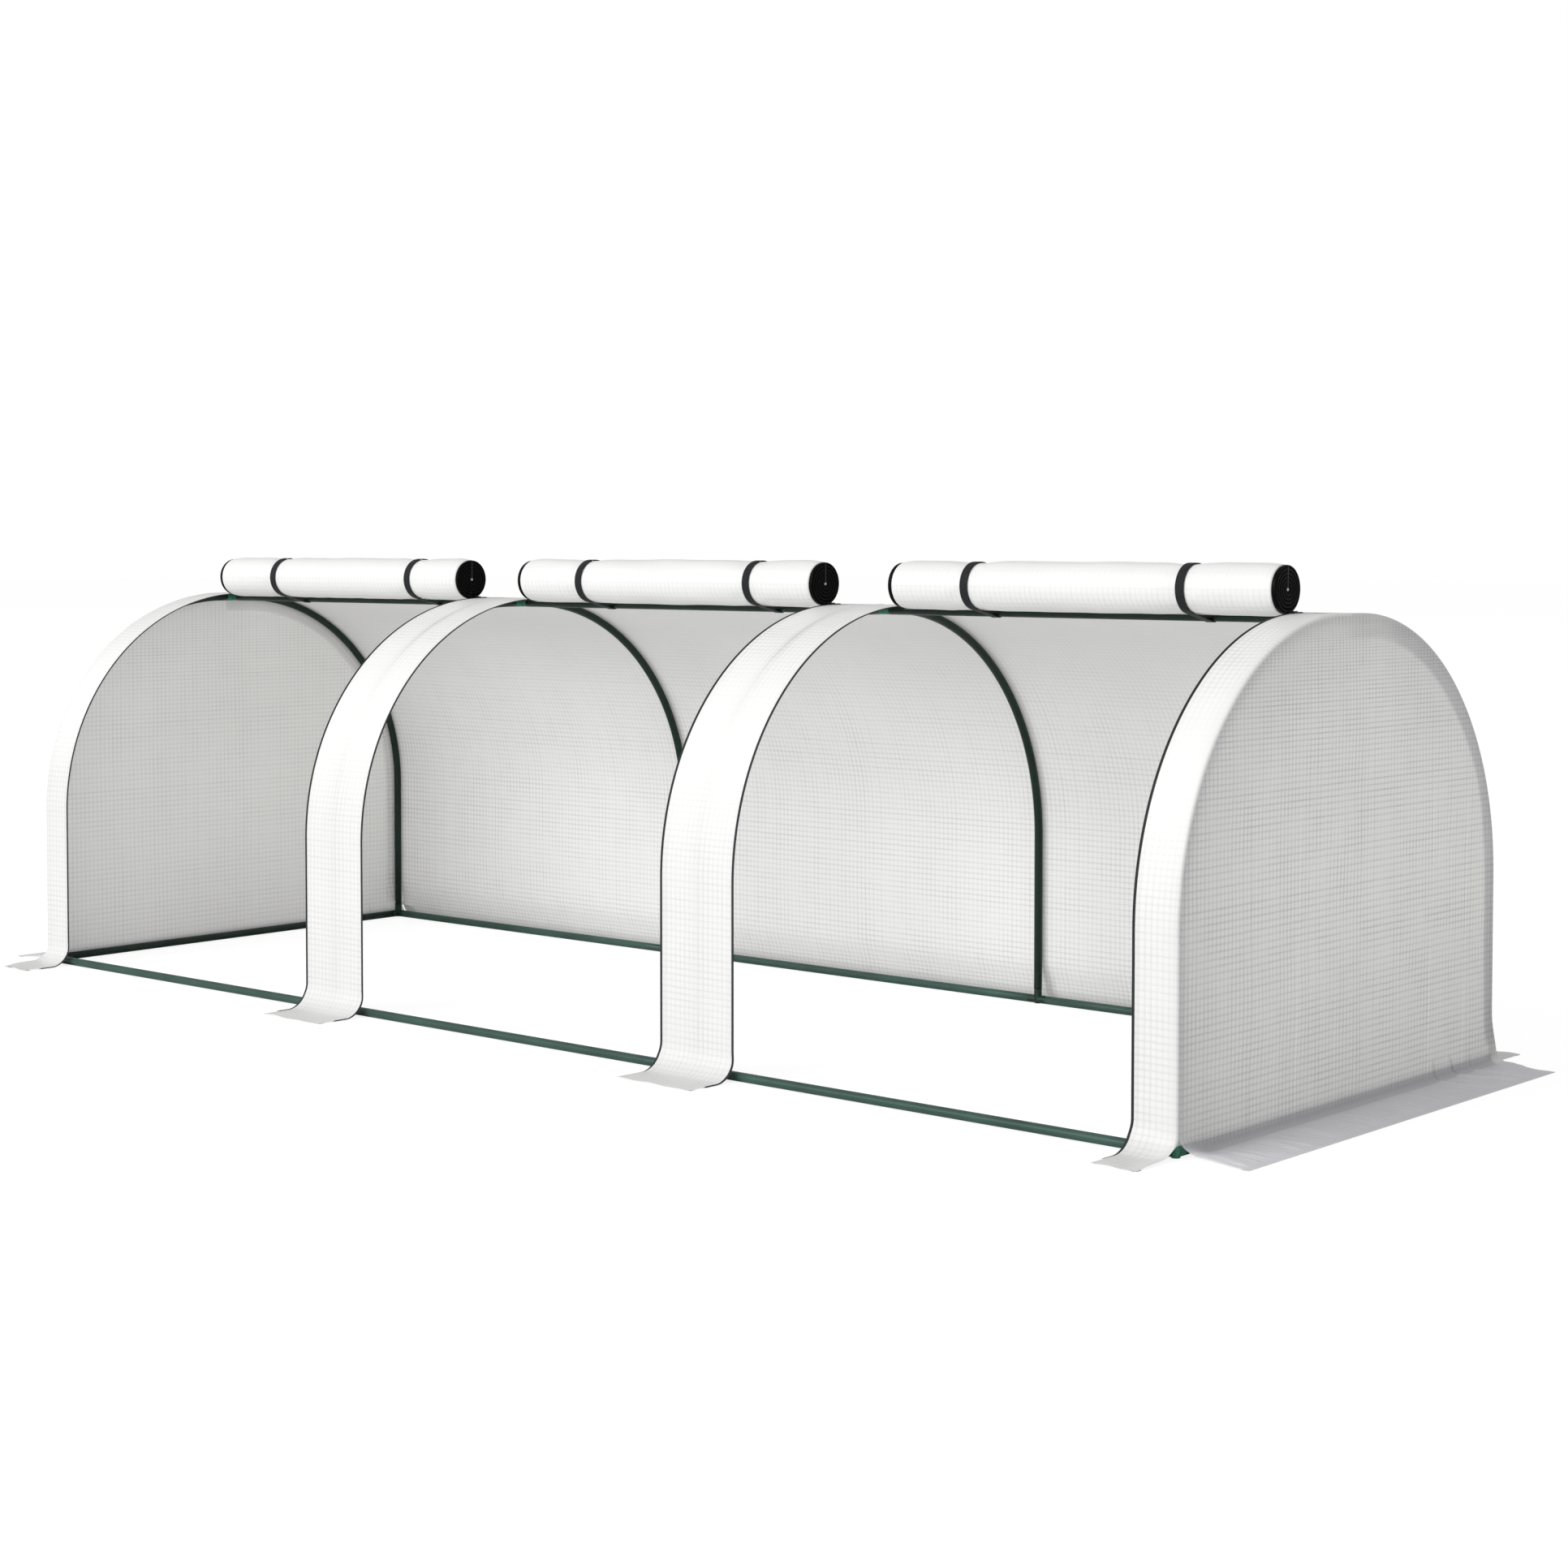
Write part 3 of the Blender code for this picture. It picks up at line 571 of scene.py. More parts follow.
def across(low, high, size, low_hem=0.0, high_hem=0.0):
    """All columns of a sheet from low to high; an end with a hem runs round the tunnel's corner first."""
    margin = CORNER + 0.003
    flat = steps(low + margin * (low_hem > 0), high - margin * (high_hem > 0), size)
    groups = [stacked(flat, 0.0, 0.0, 0.0).T]
    if low_hem > 0:
        groups.insert(0, corner_columns(-1, low_hem))
    if high_hem > 0:
        groups.append(corner_columns(1, high_hem))
    return np.concatenate(groups, axis=1)


def turned_in(columns, full):
    """X, and the drop under the section, of a sheet's columns; full is 1 on the walls and 0 on the skirt.

    On a wall the sheet turns a quarter circle and its hem then lies flat against the end sheet's inside.
    On a skirt the circle shrinks to the hem's fold, and the hem is folded back under.
    """
    place, side, angle, hem = (values[None, :] for values in columns)
    corner = CORNER * full + HEM_FOLD / 2 * (1 - full)
    folded = np.clip(hem / HEM_FOLD, 0, 1)
    reach = corner * (1 - np.sin(angle)) + folded * SEAM_STEP + (1 - full) * hem
    x = np.where(side == 0, place, side * (COVER_END - SEAM_STEP - reach))
    drop = corner * (1 - np.cos(angle)) + full * hem + (1 - full) * folded * HEM_FOLD / 2
    return x, drop


def sheet_tone(darker, threads):
    """Tone of a sheet: white less a share of painted shade, where a negative share is painted light, a touch warm, and
    how clearly the threads show.
    """
    shade = 1 - darker
    return stacked(shade, shade, shade * 0.995, threads)


# The seam of roof and strips, and the cloth that stands prouder at the rear foot
SEAM_LAP = 0.010
SEAM_LIFT = 0.0006
BELL = 0.012
BELL_SPREAD = 0.028
BELL_DROP = 0.010
# How much painted light brightens the rear wall over the roof, and how clearly threads show on the roof and further
# down
REAR_LIGHT = 0.06
ROOF_THREADS = 0.08
REAR_THREADS = 0.58


def roof_rear(material):
    """The roof, rear wall and rear skirt in one cut, with its hem folded under and its ends turned in."""
    columns = across(-COVER_END, COVER_END, ROOF_CELL[0], ROOF_SEAM_HEM, ROOF_SEAM_HEM)
    s = section_steps(-ROOF_FRONT_EDGE, TIP + HEM, ROOF_CELL[1])[:, None]
    x, drop = turned_in(columns, smooth(s, LEG_END + 0.03, LEG_END))
    bell = BELL * bump_at(s, LEG_END + BELL_DROP, BELL_SPREAD)
    lift = wall_lift(x, s, 11) + skirt_wave(x, s, 12, SKIRT_WAVE) + bell - drop
    points = place_sheet(x, s, lift)
    # Painted light: the sheet lighter from the roof down to the rear wall
    painted_light_and_threads = sheet_tone(-REAR_LIGHT * smooth(s, 0.25, 0.55), ROOF_THREADS + REAR_THREADS * smooth(s, 0.10, 0.72))
    cover_sheet("roof_rear_sheet", points, stacked(columns[0] + columns[1] * columns[3], s), material, painted_light_and_threads,
                "roof_rear_panel", [*(f"hoop_{number}_rear" for number in HOOPS), "ridge_tube_2"],
                (2 * (COVER_END + ROOF_SEAM_HEM), TIP + HEM + ROOF_FRONT_EDGE))


# The zips' tapes under the strips, and how far zip and edge are drawn in on the foot
TAPE_HIDDEN = 0.007
ZIP_TUCK = 0.0034
# A strip's ridge over its hoop, its slack beside it, and its painted shades: a streak beside the hoop and darker legs
STRIP_TENT = 0.0010
STRIP_SLACK = 0.0008
STREAK_BESIDE_HOOP = 0.006
STREAK_PLACE = -0.24
STREAK_LENGTH = 0.10
STREAK_SHADE = 0.17
LEG_SHADE = 0.085
# How clearly threads show on a strip: at its bend, and what is added towards the ridge and down the leg
STRIP_THREADS = (0.15, 1.3, 0.85)


def cover_sheet(name, points, uv, material, painted_light_and_threads, replaced, rests_on, flat, flip=True, **area):
    """A sheet of the cover in place: its mesh and the solid it stands for; the size it was cut to is not used."""
    piece = surface(name, points, uv, material, flip=flip, painted_light_and_threads=painted_light_and_threads)
    settle(piece, "root", replaced)


def strip_edges(number):
    """The two X edges of a front strip's cloth, beside its zips."""
    edge = ZIP_WIDTH + GAP
    low = -COVER_END if number == 1 else DOOR_X[number - 1][1] + edge
    high = COVER_END if number == 4 else DOOR_X[number][0] - edge
    return low, high


def foot_radius(x, number):
    """A strip's flare radius: the outer edges of the end strips hug the wall and turn out sharply."""
    side = {1: -1, 4: 1}.get(number, 0)
    tight = smooth(side * x, COVER_END - 0.06, COVER_END - 0.005) if side else 0.0
    return FLARE_RADIUS + (CORNER_FLARE - FLARE_RADIUS) * tight


def front_strips(material):
    """The upright strips, pressed out along their hoop, with feet that flare and lie on the ground."""
    for number in HOOPS:
        low, high = strip_edges(number)
        columns = across(low, high, STRIP_CELL[0], STRIP_SEAM_HEM * (number == 1), STRIP_SEAM_HEM * (number == 4))
        s = section_steps(-TIP - HEM, SEAM_LAP - ROOF_FRONT_EDGE, STRIP_CELL[1])[:, None]
        d = np.abs(s)
        x, drop = turned_in(columns, smooth(d, LEG_END + 0.035, LEG_END + 0.020))
        tuck = ZIP_TUCK * smooth(d, LEG_END - 0.005, LEG_END + 0.025)
        x = x + tuck * ((number < 4) * smooth(x, high - 0.02, high) - (number > 1) * smooth(x, low + 0.02, low))
        hoop = HOOP_X[number]
        tent = STRIP_TENT * bump_at(x, hoop, PRESS_WIDTH * 0.9) * smooth(d, TIP - 0.04, LEG_END)
        inner = np.minimum(np.abs(x - low) + (number == 1), np.abs(x - high) + (number == 4))
        slack = STRIP_SLACK * smooth(np.abs(x - hoop), 0.012, 0.04) * smooth(d, LEG_END, LEG_END - 0.1)
        slack = slack * smooth(inner, 0.0, 0.025)
        seam = SEAM_LIFT * smooth(d, 0.03, 0.015)
        wave = ripple(x, s, 20 + number, *STRIP_WAVES) * smooth(inner, 0.0, 0.02)
        lift = tent - slack + seam + wave + skirt_wave(x, s, 30 + number, FOOT_WAVE) - drop
        # Painted shade: a grey streak beside the hoop on the middle strips' bend, and the legs darker towards the
        # ground
        streak = bump_at(x, hoop + STREAK_BESIDE_HOOP, 0.006) * bump_at(s, STREAK_PLACE, STREAK_LENGTH)
        darker = STREAK_SHADE * streak * (number in (2, 3)) + LEG_SHADE * smooth(d, 0.45, 0.72)
        on_foot = smooth(d, LEG_END, LEG_END + 0.02)
        bend, ridge, leg = STRIP_THREADS
        threads = bend + ridge * smooth(d, 0.48, 0.20) + leg * smooth(d, 0.50, 0.80) * (1 - 0.4 * on_foot)
        outer = smooth({1: -x, 4: x}.get(number, 0.0), COVER_END - 0.03, COVER_END)
        share = (d - LEG_END) / (TIP - LEG_END)
        curl = smooth(share, 0.1, 0.4) * np.clip(1.25 - share, 0, 1) * smooth(d, TIP, TIP - 0.03)
        lift = lift + CORNER_RISE * outer * curl
        cover_sheet(f"front_strip_sheet_{number}", place_sheet(x, s, lift, foot_radius(x, number)),
                    stacked(columns[0] + columns[1] * columns[3], s), material, sheet_tone(darker, threads),
                    f"front_strip_{number}", [f"hoop_{number}_front"],
                    (high - low, TIP + HEM - ROOF_FRONT_EDGE + SEAM_LAP))


END_FLAT = END_SKIRT_REACH - END_FLARE_RADIUS
END_WALL = END_FLAT + END_FLARE_RADIUS * math.pi / 2
END_FOOT = END_WALL + 0.020
WALL_RISE = LEG_TOP - SHEET - END_FLARE_RADIUS
ARCH_RADIUS = BEND_RADIUS - SEAM_INSET
END_LAST = END_WALL + WALL_RISE + ARCH_RADIUS * math.pi / 2
GUSSET = 0.030

# Shares of painted shade on an end sheet and of painted light on its skirt, and how clearly its threads and creases
# show at either end
RAIL_SHADE = 0.24
HOOP_SHADE = 0.14
HEM_SHADE = 0.03
FOOT_SHADE = 0.09
SKIRT_LIGHT = 0.03
LEFT_SHADE = 0.08
CLARITY = {"left": 0.5, "right": 1.0}
CREASE_SHARE = {"left": 0.15, "right": 1.0}
CREASE_LEAN = 0.03
# How far the wall's film stands off, and the heights of the skirt's wrinkles and of its finer ones
END_PROUD = 0.0008
WRINKLE = 0.0012
FINE_WRINKLE = 0.0005
# Creases down an end wall: place across it, how far they stand out, and how much painted highlight lies along them,
# painted shade where negative
END_CREASES = ((-0.31, 0.0009, -0.07), (-0.17, 0.0006, 0.09), (-0.05, 0.0003, 0.05), (0.02, 0.0007, -0.03),
               (0.16, 0.0006, -0.04), (0.262, 0.0010, 0.12), (0.33, 0.0004, 0.04), (0.385, 0.0008, 0.10))
# Folds over the rear end of a skirt: place across it, lean, how far they stand up and how much painted shade lies
# along them
SKIRT_FOLDS = ((0.285, 0.10, 0.0030, 0.16), (0.345, 0.35, 0.0045, 0.20), (0.410, 0.16, 0.0030, 0.05))


def end_rows(row, radius):
    """An end sheet's row at a length from its hem's fold: distance out from the wall, height, half width, flare.

    Rows run along the skirt, up the flare, up the wall and then by equal steps round the arch, where the
    half width follows the bend. The rows of the foot are shared out anew where the flare is wider.
    """
    flat = END_SKIRT_REACH - radius
    foot = flat + radius * math.pi / 2 + END_FOOT - END_WALL - (radius - END_FLARE_RADIUS)
    length = np.clip(row, 0, END_FOOT) / END_FOOT * foot
    along = np.minimum(length, flat)
    flare = np.clip((length - flat) / radius, 0, math.pi / 2)
    wall = np.clip(length - flat - radius * math.pi / 2, 0, None)
    wall = wall + np.clip(row - END_FOOT, 0, WALL_RISE - END_FOOT + END_WALL)
    arch = np.clip((row - END_WALL - WALL_RISE) / ARCH_RADIUS, 0, math.pi / 2)
    under = np.clip(-row, 0, None)
    out = END_SKIRT_REACH - along - radius * np.sin(flare) - under
    height = SHEET + radius * (1 - np.cos(flare)) + wall + ARCH_RADIUS * np.sin(arch)
    height = height - np.clip(under / HEM_FOLD, 0, 1) * HEM_FOLD
    half = CROWN_HALF + ARCH_RADIUS * np.cos(arch)
    return out, height, half, flare


def depth_in_arch(y, height):
    """How far a point of an end wall lies inside the outline of the arch."""
    over = np.maximum(height - LEG_TOP, 0)
    beside = np.maximum(np.abs(y) - CROWN_HALF, 0)
    return BEND_RADIUS - np.where(over > 0, np.hypot(over, beside), beside)


def fold_line(row, place, lean):
    """Where a leaning fold of a skirt lies across the wall, at a row."""
    return place + lean * (END_WALL + 0.01 - row)


def end_tone(y, row, height, clarity):
    """Tone of an end sheet: painted shade where the base rail, the rear hoop and the roof's hem lie behind it, towards
    its foot and over the left end; painted light on the skirt; painted highlights and shade along the creases and
    painted shade along the skirt's folds.
    """
    wall = smooth(row, END_FLAT + 0.004, END_WALL)
    rail = smooth(height, 0.026, 0.014) * smooth(row, END_FLAT - 0.004, END_FLAT + 0.005)
    rail = rail * smooth(np.abs(y), HALF_WIDTH - 0.003, HALF_WIDTH - 0.006)
    depth = depth_in_arch(y, height)
    hoop = smooth(depth, 0.040, 0.030) * smooth(y, 0.04, 0.20) * wall * smooth(height, 0.03, 0.05)
    front = smooth(depth, 0.020, 0.0) * smooth(y, 0.0, -0.1) * wall
    skirt = smooth(row, END_WALL, END_FLAT)
    foot = smooth(height, 0.40, 0.06) * wall
    dark = RAIL_SHADE * rail + HOOP_SHADE * hoop + HEM_SHADE * front + FOOT_SHADE * foot - SKIRT_LIGHT * skirt
    dark = dark + LEFT_SHADE * (1 - clarity) * smooth(height, 0.1, 0.5)
    for place, _, light in END_CREASES:
        line = bump_at(y, place + CREASE_LEAN * height, 0.0016) * wall * smooth(height, 0.62, 0.35)
        dark = dark - light * line * (2 * clarity - 1)
    for place, lean, _, shade in SKIRT_FOLDS:
        shown = smooth(row, END_WALL + 0.03, END_WALL + 0.015) * smooth(row, END_FLAT - 0.07, END_FLAT - 0.02)
        dark = dark + shade * bump_at(y, fold_line(row, place, lean), 0.0035) * shown
    # A cool tint on the skirt and where painted shade lies
    cool_shade = np.clip(skirt + 0.7 * hoop + 0.8 * front + rail, 0, 1)
    threads = clarity * smooth(row, END_FLAT + 0.004, END_WALL + 0.010) + 0.15 * skirt
    tint = (1 - 0.015 * cool_shade, 1 - 0.024 * cool_shade, 0.990 + 0.034 * cool_shade)
    return stacked(*((1 - dark) * part for part in tint), threads)


def end_sheets(material):
    """The end walls, cut to the arch, with creases down them and folds where the skirt turns the corner."""
    runs = ((-HEM, 0, 0.007), (0, END_FLAT, 0.004), (END_FLAT, END_WALL, 0.0016), (END_WALL, END_WALL + 0.03, 0.0025),
            (END_WALL + 0.03, END_LAST, 0.011))
    rows = np.unique(np.concatenate([steps(*run) for run in runs] + [np.arange(-4, 5) * HEM_FOLD / 4]))
    for label, sign, seed in (("left", -1, 41), ("right", 1, 42)):
        row, share = np.meshgrid(rows, steps(-1.0, 1.0, 0.0045), indexing="ij")
        tight = smooth(share, -0.84, -0.99)
        out, height, half, flare = end_rows(row, END_FLARE_RADIUS + (CORNER_FLARE - END_FLARE_RADIUS) * tight)
        sweep = FLARE_RADIUS - np.sqrt(FLARE_RADIUS ** 2 - np.clip(FLARE_TOP - height, 0, FLARE_RADIUS - SHEET) ** 2)
        sweep = np.minimum(sweep, GUSSET) + BELL * bump_at(height, FLARE_TOP - BELL_DROP, BELL_SPREAD)
        y = share * half + sweep * smooth(share, 0.93, 1.0) * smooth(row, 0.03, END_FLAT)
        wall = smooth(row, END_FLAT, END_WALL + 0.02)
        edge = smooth(depth_in_arch(y, height), 0.0, 0.05)
        lift = np.clip(ripple(y, height, seed, *END_WAVES) + END_PROUD, 0, None) * wall * edge
        for place, depth, _ in END_CREASES:
            crease = bump_at(y, place + CREASE_LEAN * height, 0.004) * wall * smooth(height, 0.74, 0.30)
            lift = lift + CREASE_SHARE[label] * depth * crease
        on_skirt = smooth(row, END_FLAT + 0.002, END_FLAT - 0.03) * smooth(row, 0.0, 0.03)
        wrinkles = WRINKLE * np.clip(ripple(y, row * 0.3, seed + 5, 1.0, 0.02, 0.11) + 0.3, 0, None)
        fine = FINE_WRINKLE * np.clip(ripple(y, row * 0.12, seed + 7, 1.0, 0.007, 0.018) + 0.5, 0, None)
        wrinkles = (wrinkles + fine * smooth(row, END_FLAT, END_FLAT - 0.03)) * on_skirt
        for place, lean, rise, _ in SKIRT_FOLDS:
            fold = smooth(row, END_WALL + 0.03, END_FLAT) * smooth(row, 0.0, 0.05)
            wrinkles = wrinkles + rise * bump_at(y, fold_line(row, place, lean), 0.006) * fold
        rise = CORNER_RISE * tight * smooth(row, 0, END_FLAT) * smooth(row, END_WALL + 0.02, END_FLAT)
        x = COVER_END + out + lift + wrinkles * np.sin(flare)
        z = height + wrinkles * np.cos(flare) + rise
        points = stacked(sign * x, y, np.maximum(z, GROUND_FILM))
        arch_area = 2 * (CROWN_HALF * BEND_RADIUS + math.pi * BEND_RADIUS ** 2 / 4)
        cover_sheet(f"end_sheet_{label}", points, stacked(y, row), material, end_tone(y, row, height, CLARITY[label]),
                    f"end_panel_{label}", [f"base_rail_{label}"], (2 * HALF_WIDTH, END_LAST + HEM), flip=sign > 0,
                    area=2 * HALF_WIDTH * (HEM + END_WALL + WALL_RISE) + arch_area)


def rod(name, path, radii, normals, side, sides, material, flip=False):
    """A round piece along a path: centre + radius times (cos a along the normal + sin a along the side)."""
    angles = np.linspace(0, 2 * math.pi, sides, endpoint=False)[None, :, None]
    around = np.cos(angles) * normals[:, None, :] + np.sin(angles) * side
    return surface(name, path[:, None, :] + radii[:, None, None] * around, None, material, wrap=True, flip=flip)


ALONG_X, ALONG_Y, ALONG_Z = np.eye(3)
TUBE_SIDES = 28
WIND_SIDES = 12
PIN_SIDES = 20
THREAD_SIDES = 6
LIP = 0.0004
BORE_DEPTH = 0.004


def open_ended(path, radius, bore):
    """A tube's path with its ends rounded over and turned into the bore: path points and their radii."""
    first = (path[1] - path[0]) / np.linalg.norm(path[1] - path[0])
    last = (path[-1] - path[-2]) / np.linalg.norm(path[-1] - path[-2])
    head = np.array([path[0] + first * BORE_DEPTH, path[0], path[0], path[0] + first * LIP])
    tail = np.array([path[-1] - last * LIP, path[-1], path[-1], path[-1] - last * BORE_DEPTH])
    points = np.concatenate([head, path[1:-1], tail])
    radii = np.concatenate([[bore, bore, radius - LIP, radius], np.full(len(path) - 2, radius),
                            [radius, radius - LIP, bore, bore]])
    return points, radii


def steel_tube(name, path, normals, side, material, replaced):
    """One round tube of the frame, swept along its centre line."""
    points, radii = open_ended(path, TUBE_RADIUS, TUBE_BORE)
    spread = np.concatenate([np.repeat(normals[:1], 4, 0), normals[1:-1], np.repeat(normals[-1:], 4, 0)])
    settle(rod(name, points, radii, spread, side, TUBE_SIDES, material), "root", replaced)


def straight(start, end):
    """A straight path of points, with normals pointing up and the side that goes with them."""
    path = np.linspace(start, end, 9)
    up = np.zeros_like(path) + ALONG_Z
    return path, up, np.cross(up[0], (path[-1] - path[0]) / np.linalg.norm(path[-1] - path[0]))


def frame_tubes(material, lit_rail_material):
    """Base rails, ridge tubes and hoops, each from plug to plug."""
    for number in DOORS:
        low, high = HOOP_X[number] + HUB_REACH, HOOP_X[number + 1] - HUB_REACH
        for kind, y, z, finish in (("base_rail_front", -RAIL_Y, RAIL_Z, lit_rail_material),
                                   ("base_rail_rear", RAIL_Y, RAIL_Z, lit_rail_material),
                                   ("ridge_tube", 0.0, RIDGE_Z, material)):
            steel_tube(f"{kind}_{number}_pipe", *straight((low, y, z), (high, y, z)), finish, f"{kind}_{number}")
    for label, x in (("left", HOOP_X[1]), ("right", HOOP_X[4])):
        ends = [(x, side * (RAIL_Y - HUB_REACH), RAIL_Z) for side in (-1, 1)]
        steel_tube(f"base_rail_{label}_pipe", *straight(*ends), material, f"base_rail_{label}")
    bend = BEND_RADIUS - TUBE_INSET
    angles = np.linspace(0, math.pi / 2, 41)
    for number in HOOPS:
        for label, sign in (("front", -1), ("rear", 1)):
            outward = stacked(0.0, sign * np.cos(angles), np.sin(angles))
            arc = np.array([HOOP_X[number], sign * CROWN_HALF, LEG_TOP]) + outward * bend
            foot = np.array([[HOOP_X[number], sign * RAIL_Y, RAIL_Z + HUB_REACH]])
            top = np.array([[HOOP_X[number], sign * HUB_REACH, RIDGE_Z]])
            path = np.concatenate([foot, arc, top])
            normals = np.concatenate([outward[:1], outward, outward[-1:]])
            steel_tube(f"hoop_{number}_{label}_pipe", path, normals, ALONG_X, material, f"hoop_{number}_{label}")


TAPE_UNDER = 0.0008
TUCKED_SHARE = 0.9


def zip_tuck(s):
    """How far the zip is drawn in under the strip's edge: not at all on the wall, nearly all of it on the foot."""
    return -TUCKED_SHARE * ZIP_TUCK * smooth(np.abs(s), LEG_END - 0.005, LEG_END + 0.025)


def zip_lines(tape_material, coil_material):
    """The strip-side half of each zip: a woven tape that runs under the strip, and a coil along its edge."""
    for number in DOORS:
        for label, edge, sign in (("left", DOOR_X[number][0], -1), ("right", DOOR_X[number][1], 1)):
            places = np.array([0.0002, 0.002, 0.0036, ZIP_WIDTH, ZIP_WIDTH + TAPE_HIDDEN / 2, ZIP_WIDTH + TAPE_HIDDEN])
            under = np.array([0.0, 0.0, -0.2, -1.0, -1.0, -1.0]) * TAPE_UNDER
            x, s = np.meshgrid(edge + sign * places, steps(ZIP_STOP - TIP, -ROOF_FRONT_EDGE, STRIP_CELL[1]))
            x = x + sign * zip_tuck(s)
            tape = surface(f"door_{number}_zip_tape_{label}", place_sheet(x, s, under[None, :]), stacked(x, s),
                           tape_material, flip=sign > 0)
            settle(tape, "root", f"door_{number}_zip_{label}")
            coil = zip_coil(f"door_{number}_zip_coil_{label}", edge, sign, coil_material)
            settle(coil, "root")


COIL_PITCH = 0.0024
COIL_RADIUS = 0.0011


def zip_coil(name, edge, sign, material):
    """A zip's coil: a bead along the tape whose radius swells at every tooth."""
    s = np.arange(ZIP_STOP - TIP + 0.002, -ROOF_FRONT_EDGE - 0.004, COIL_PITCH / 4)
    y, z = cover_line(s, 0.0)
    path = stacked(edge + sign * COIL_RADIUS * 1.2, y, np.maximum(z, COIL_RADIUS * 1.3))
    far_y, far_z = cover_line(s, 0.0010)
    normals = stacked(0.0, far_y - y, far_z - z)
    normals /= np.linalg.norm(normals, axis=1, keepdims=True)
    radii = COIL_RADIUS * (0.82 + 0.25 * np.cos(np.arange(len(s)) * math.pi / 2))
    radii[[0, -1]] = CLOSED
    return rod(name, path, radii, normals, ALONG_X, THREAD_SIDES, material)


# Rolled doors
DOOR_LENGTH = 1.08
CORE_RADIUS = 0.004
ROLL_SKIN = 0.0005
ROLL_CENTRE_RADIUS = BEND_RADIUS - ROLL_SAG + ROLL_RADIUS
ROLL_ANGLE = math.asin((ROLL_FRONT_OFFSET - CROWN_HALF) / ROLL_CENTRE_RADIUS)
ROLL_Y = -ROLL_FRONT_OFFSET
ROLL_Z = LEG_TOP + ROLL_CENTRE_RADIUS * math.cos(ROLL_ANGLE)
SEAM_DY, SEAM_DZ = -ROOF_FRONT_EDGE - ROLL_Y, TOP - ROLL_Z
LEAVING = math.atan2(SEAM_DZ, SEAM_DY) - math.acos(ROLL_RADIUS / math.hypot(SEAM_DY, SEAM_DZ))
OUTER_TURN = 2 * math.pi * (ROLL_RADIUS - ROLL_LAP / 2)
TURNS = 1 + (DOOR_LENGTH - OUTER_TURN) / (math.pi * (ROLL_RADIUS - ROLL_LAP + CORE_RADIUS))
CLOTH_END_ROUND = 0.004
# A roll's painted shades, all over it and at its ties, its pleats, and the angle where its threads show
ROLL_SHADE = 0.045
TIE_SHADE = 0.02
PLEAT = 0.0007
ROLL_NET_ANGLE = 3.6


def door_ends(number):
    """The X ends of a rolled door, and of the cloth between the wound zips at its ends."""
    low, high = DOOR_X[number][0] + ROLL_END_INSET, DOOR_X[number][1] - ROLL_END_INSET
    return low, high, low + WOUND_ZIP_WIDTH, high - WOUND_ZIP_WIDTH


def strap_places(number):
    """The X centres of a door's two ties."""
    return middle_x(f"door_{number}_strap_left"), middle_x(f"door_{number}_strap_right")


def strap_distance(x, number):
    """How far x lies outside the nearest tie of a door."""
    return np.min([np.abs(x - place) - STRAP_WIDTH / 2 - 0.002 for place in strap_places(number)], axis=0)


def roll_radius(x, number):
    """A roll's radius at x: drawn in by its ties and at its ends, back to full over a ramp as 1 - (1 - t) squared."""
    _, _, low, high = door_ends(number)
    from_end = np.minimum(x - low, high - x)
    tie = ROLL_PINCH * (1 - np.clip(strap_distance(x, number) / ROLL_PINCH_RAMP, 0, 1)) ** 2
    end = ROLL_END_PINCH * (1 - np.clip(from_end / ROLL_END_RAMP, 0, 1)) ** 2
    edge = CLOTH_END_ROUND * (1 - np.sqrt(1 - (1 - np.clip(from_end / CLOTH_END_ROUND, 0, 1)) ** 2)) * 0.8
    return ROLL_RADIUS - np.maximum(tie, end) - edge


def wound(turned, start):
    """A spiral from where the sheet leaves the roll, over the front first.

    The radius falls by one lap over the outer turn, and from there evenly to the core.
    """
    turns = turned / (2 * math.pi)
    outer = start - ROLL_LAP * np.minimum(turns, 1)
    return outer + (CORE_RADIUS - outer) * np.clip((turns - 1) / (TURNS - 1), 0, 1), LEAVING - turned


def on_roll(radius, angle):
    """(y, z) at a radius and angle round the rolls' centre line."""
    return ROLL_Y + radius * np.cos(angle), ROLL_Z + radius * np.sin(angle)


def roll_columns(number):
    """X places along a roll, closer together at its ends and ties."""
    _, _, low, high = door_ends(number)
    near = [low + CLOTH_END_ROUND * (1 - np.cos(np.linspace(0, math.pi / 2, 7)))]
    near.append(high - (near[0] - low))
    near += [place + np.linspace(-0.024, 0.024, 17) for place in strap_places(number)]
    return np.unique(np.round(np.concatenate([steps(low, high, ROLL_CELL)] + near), 5))


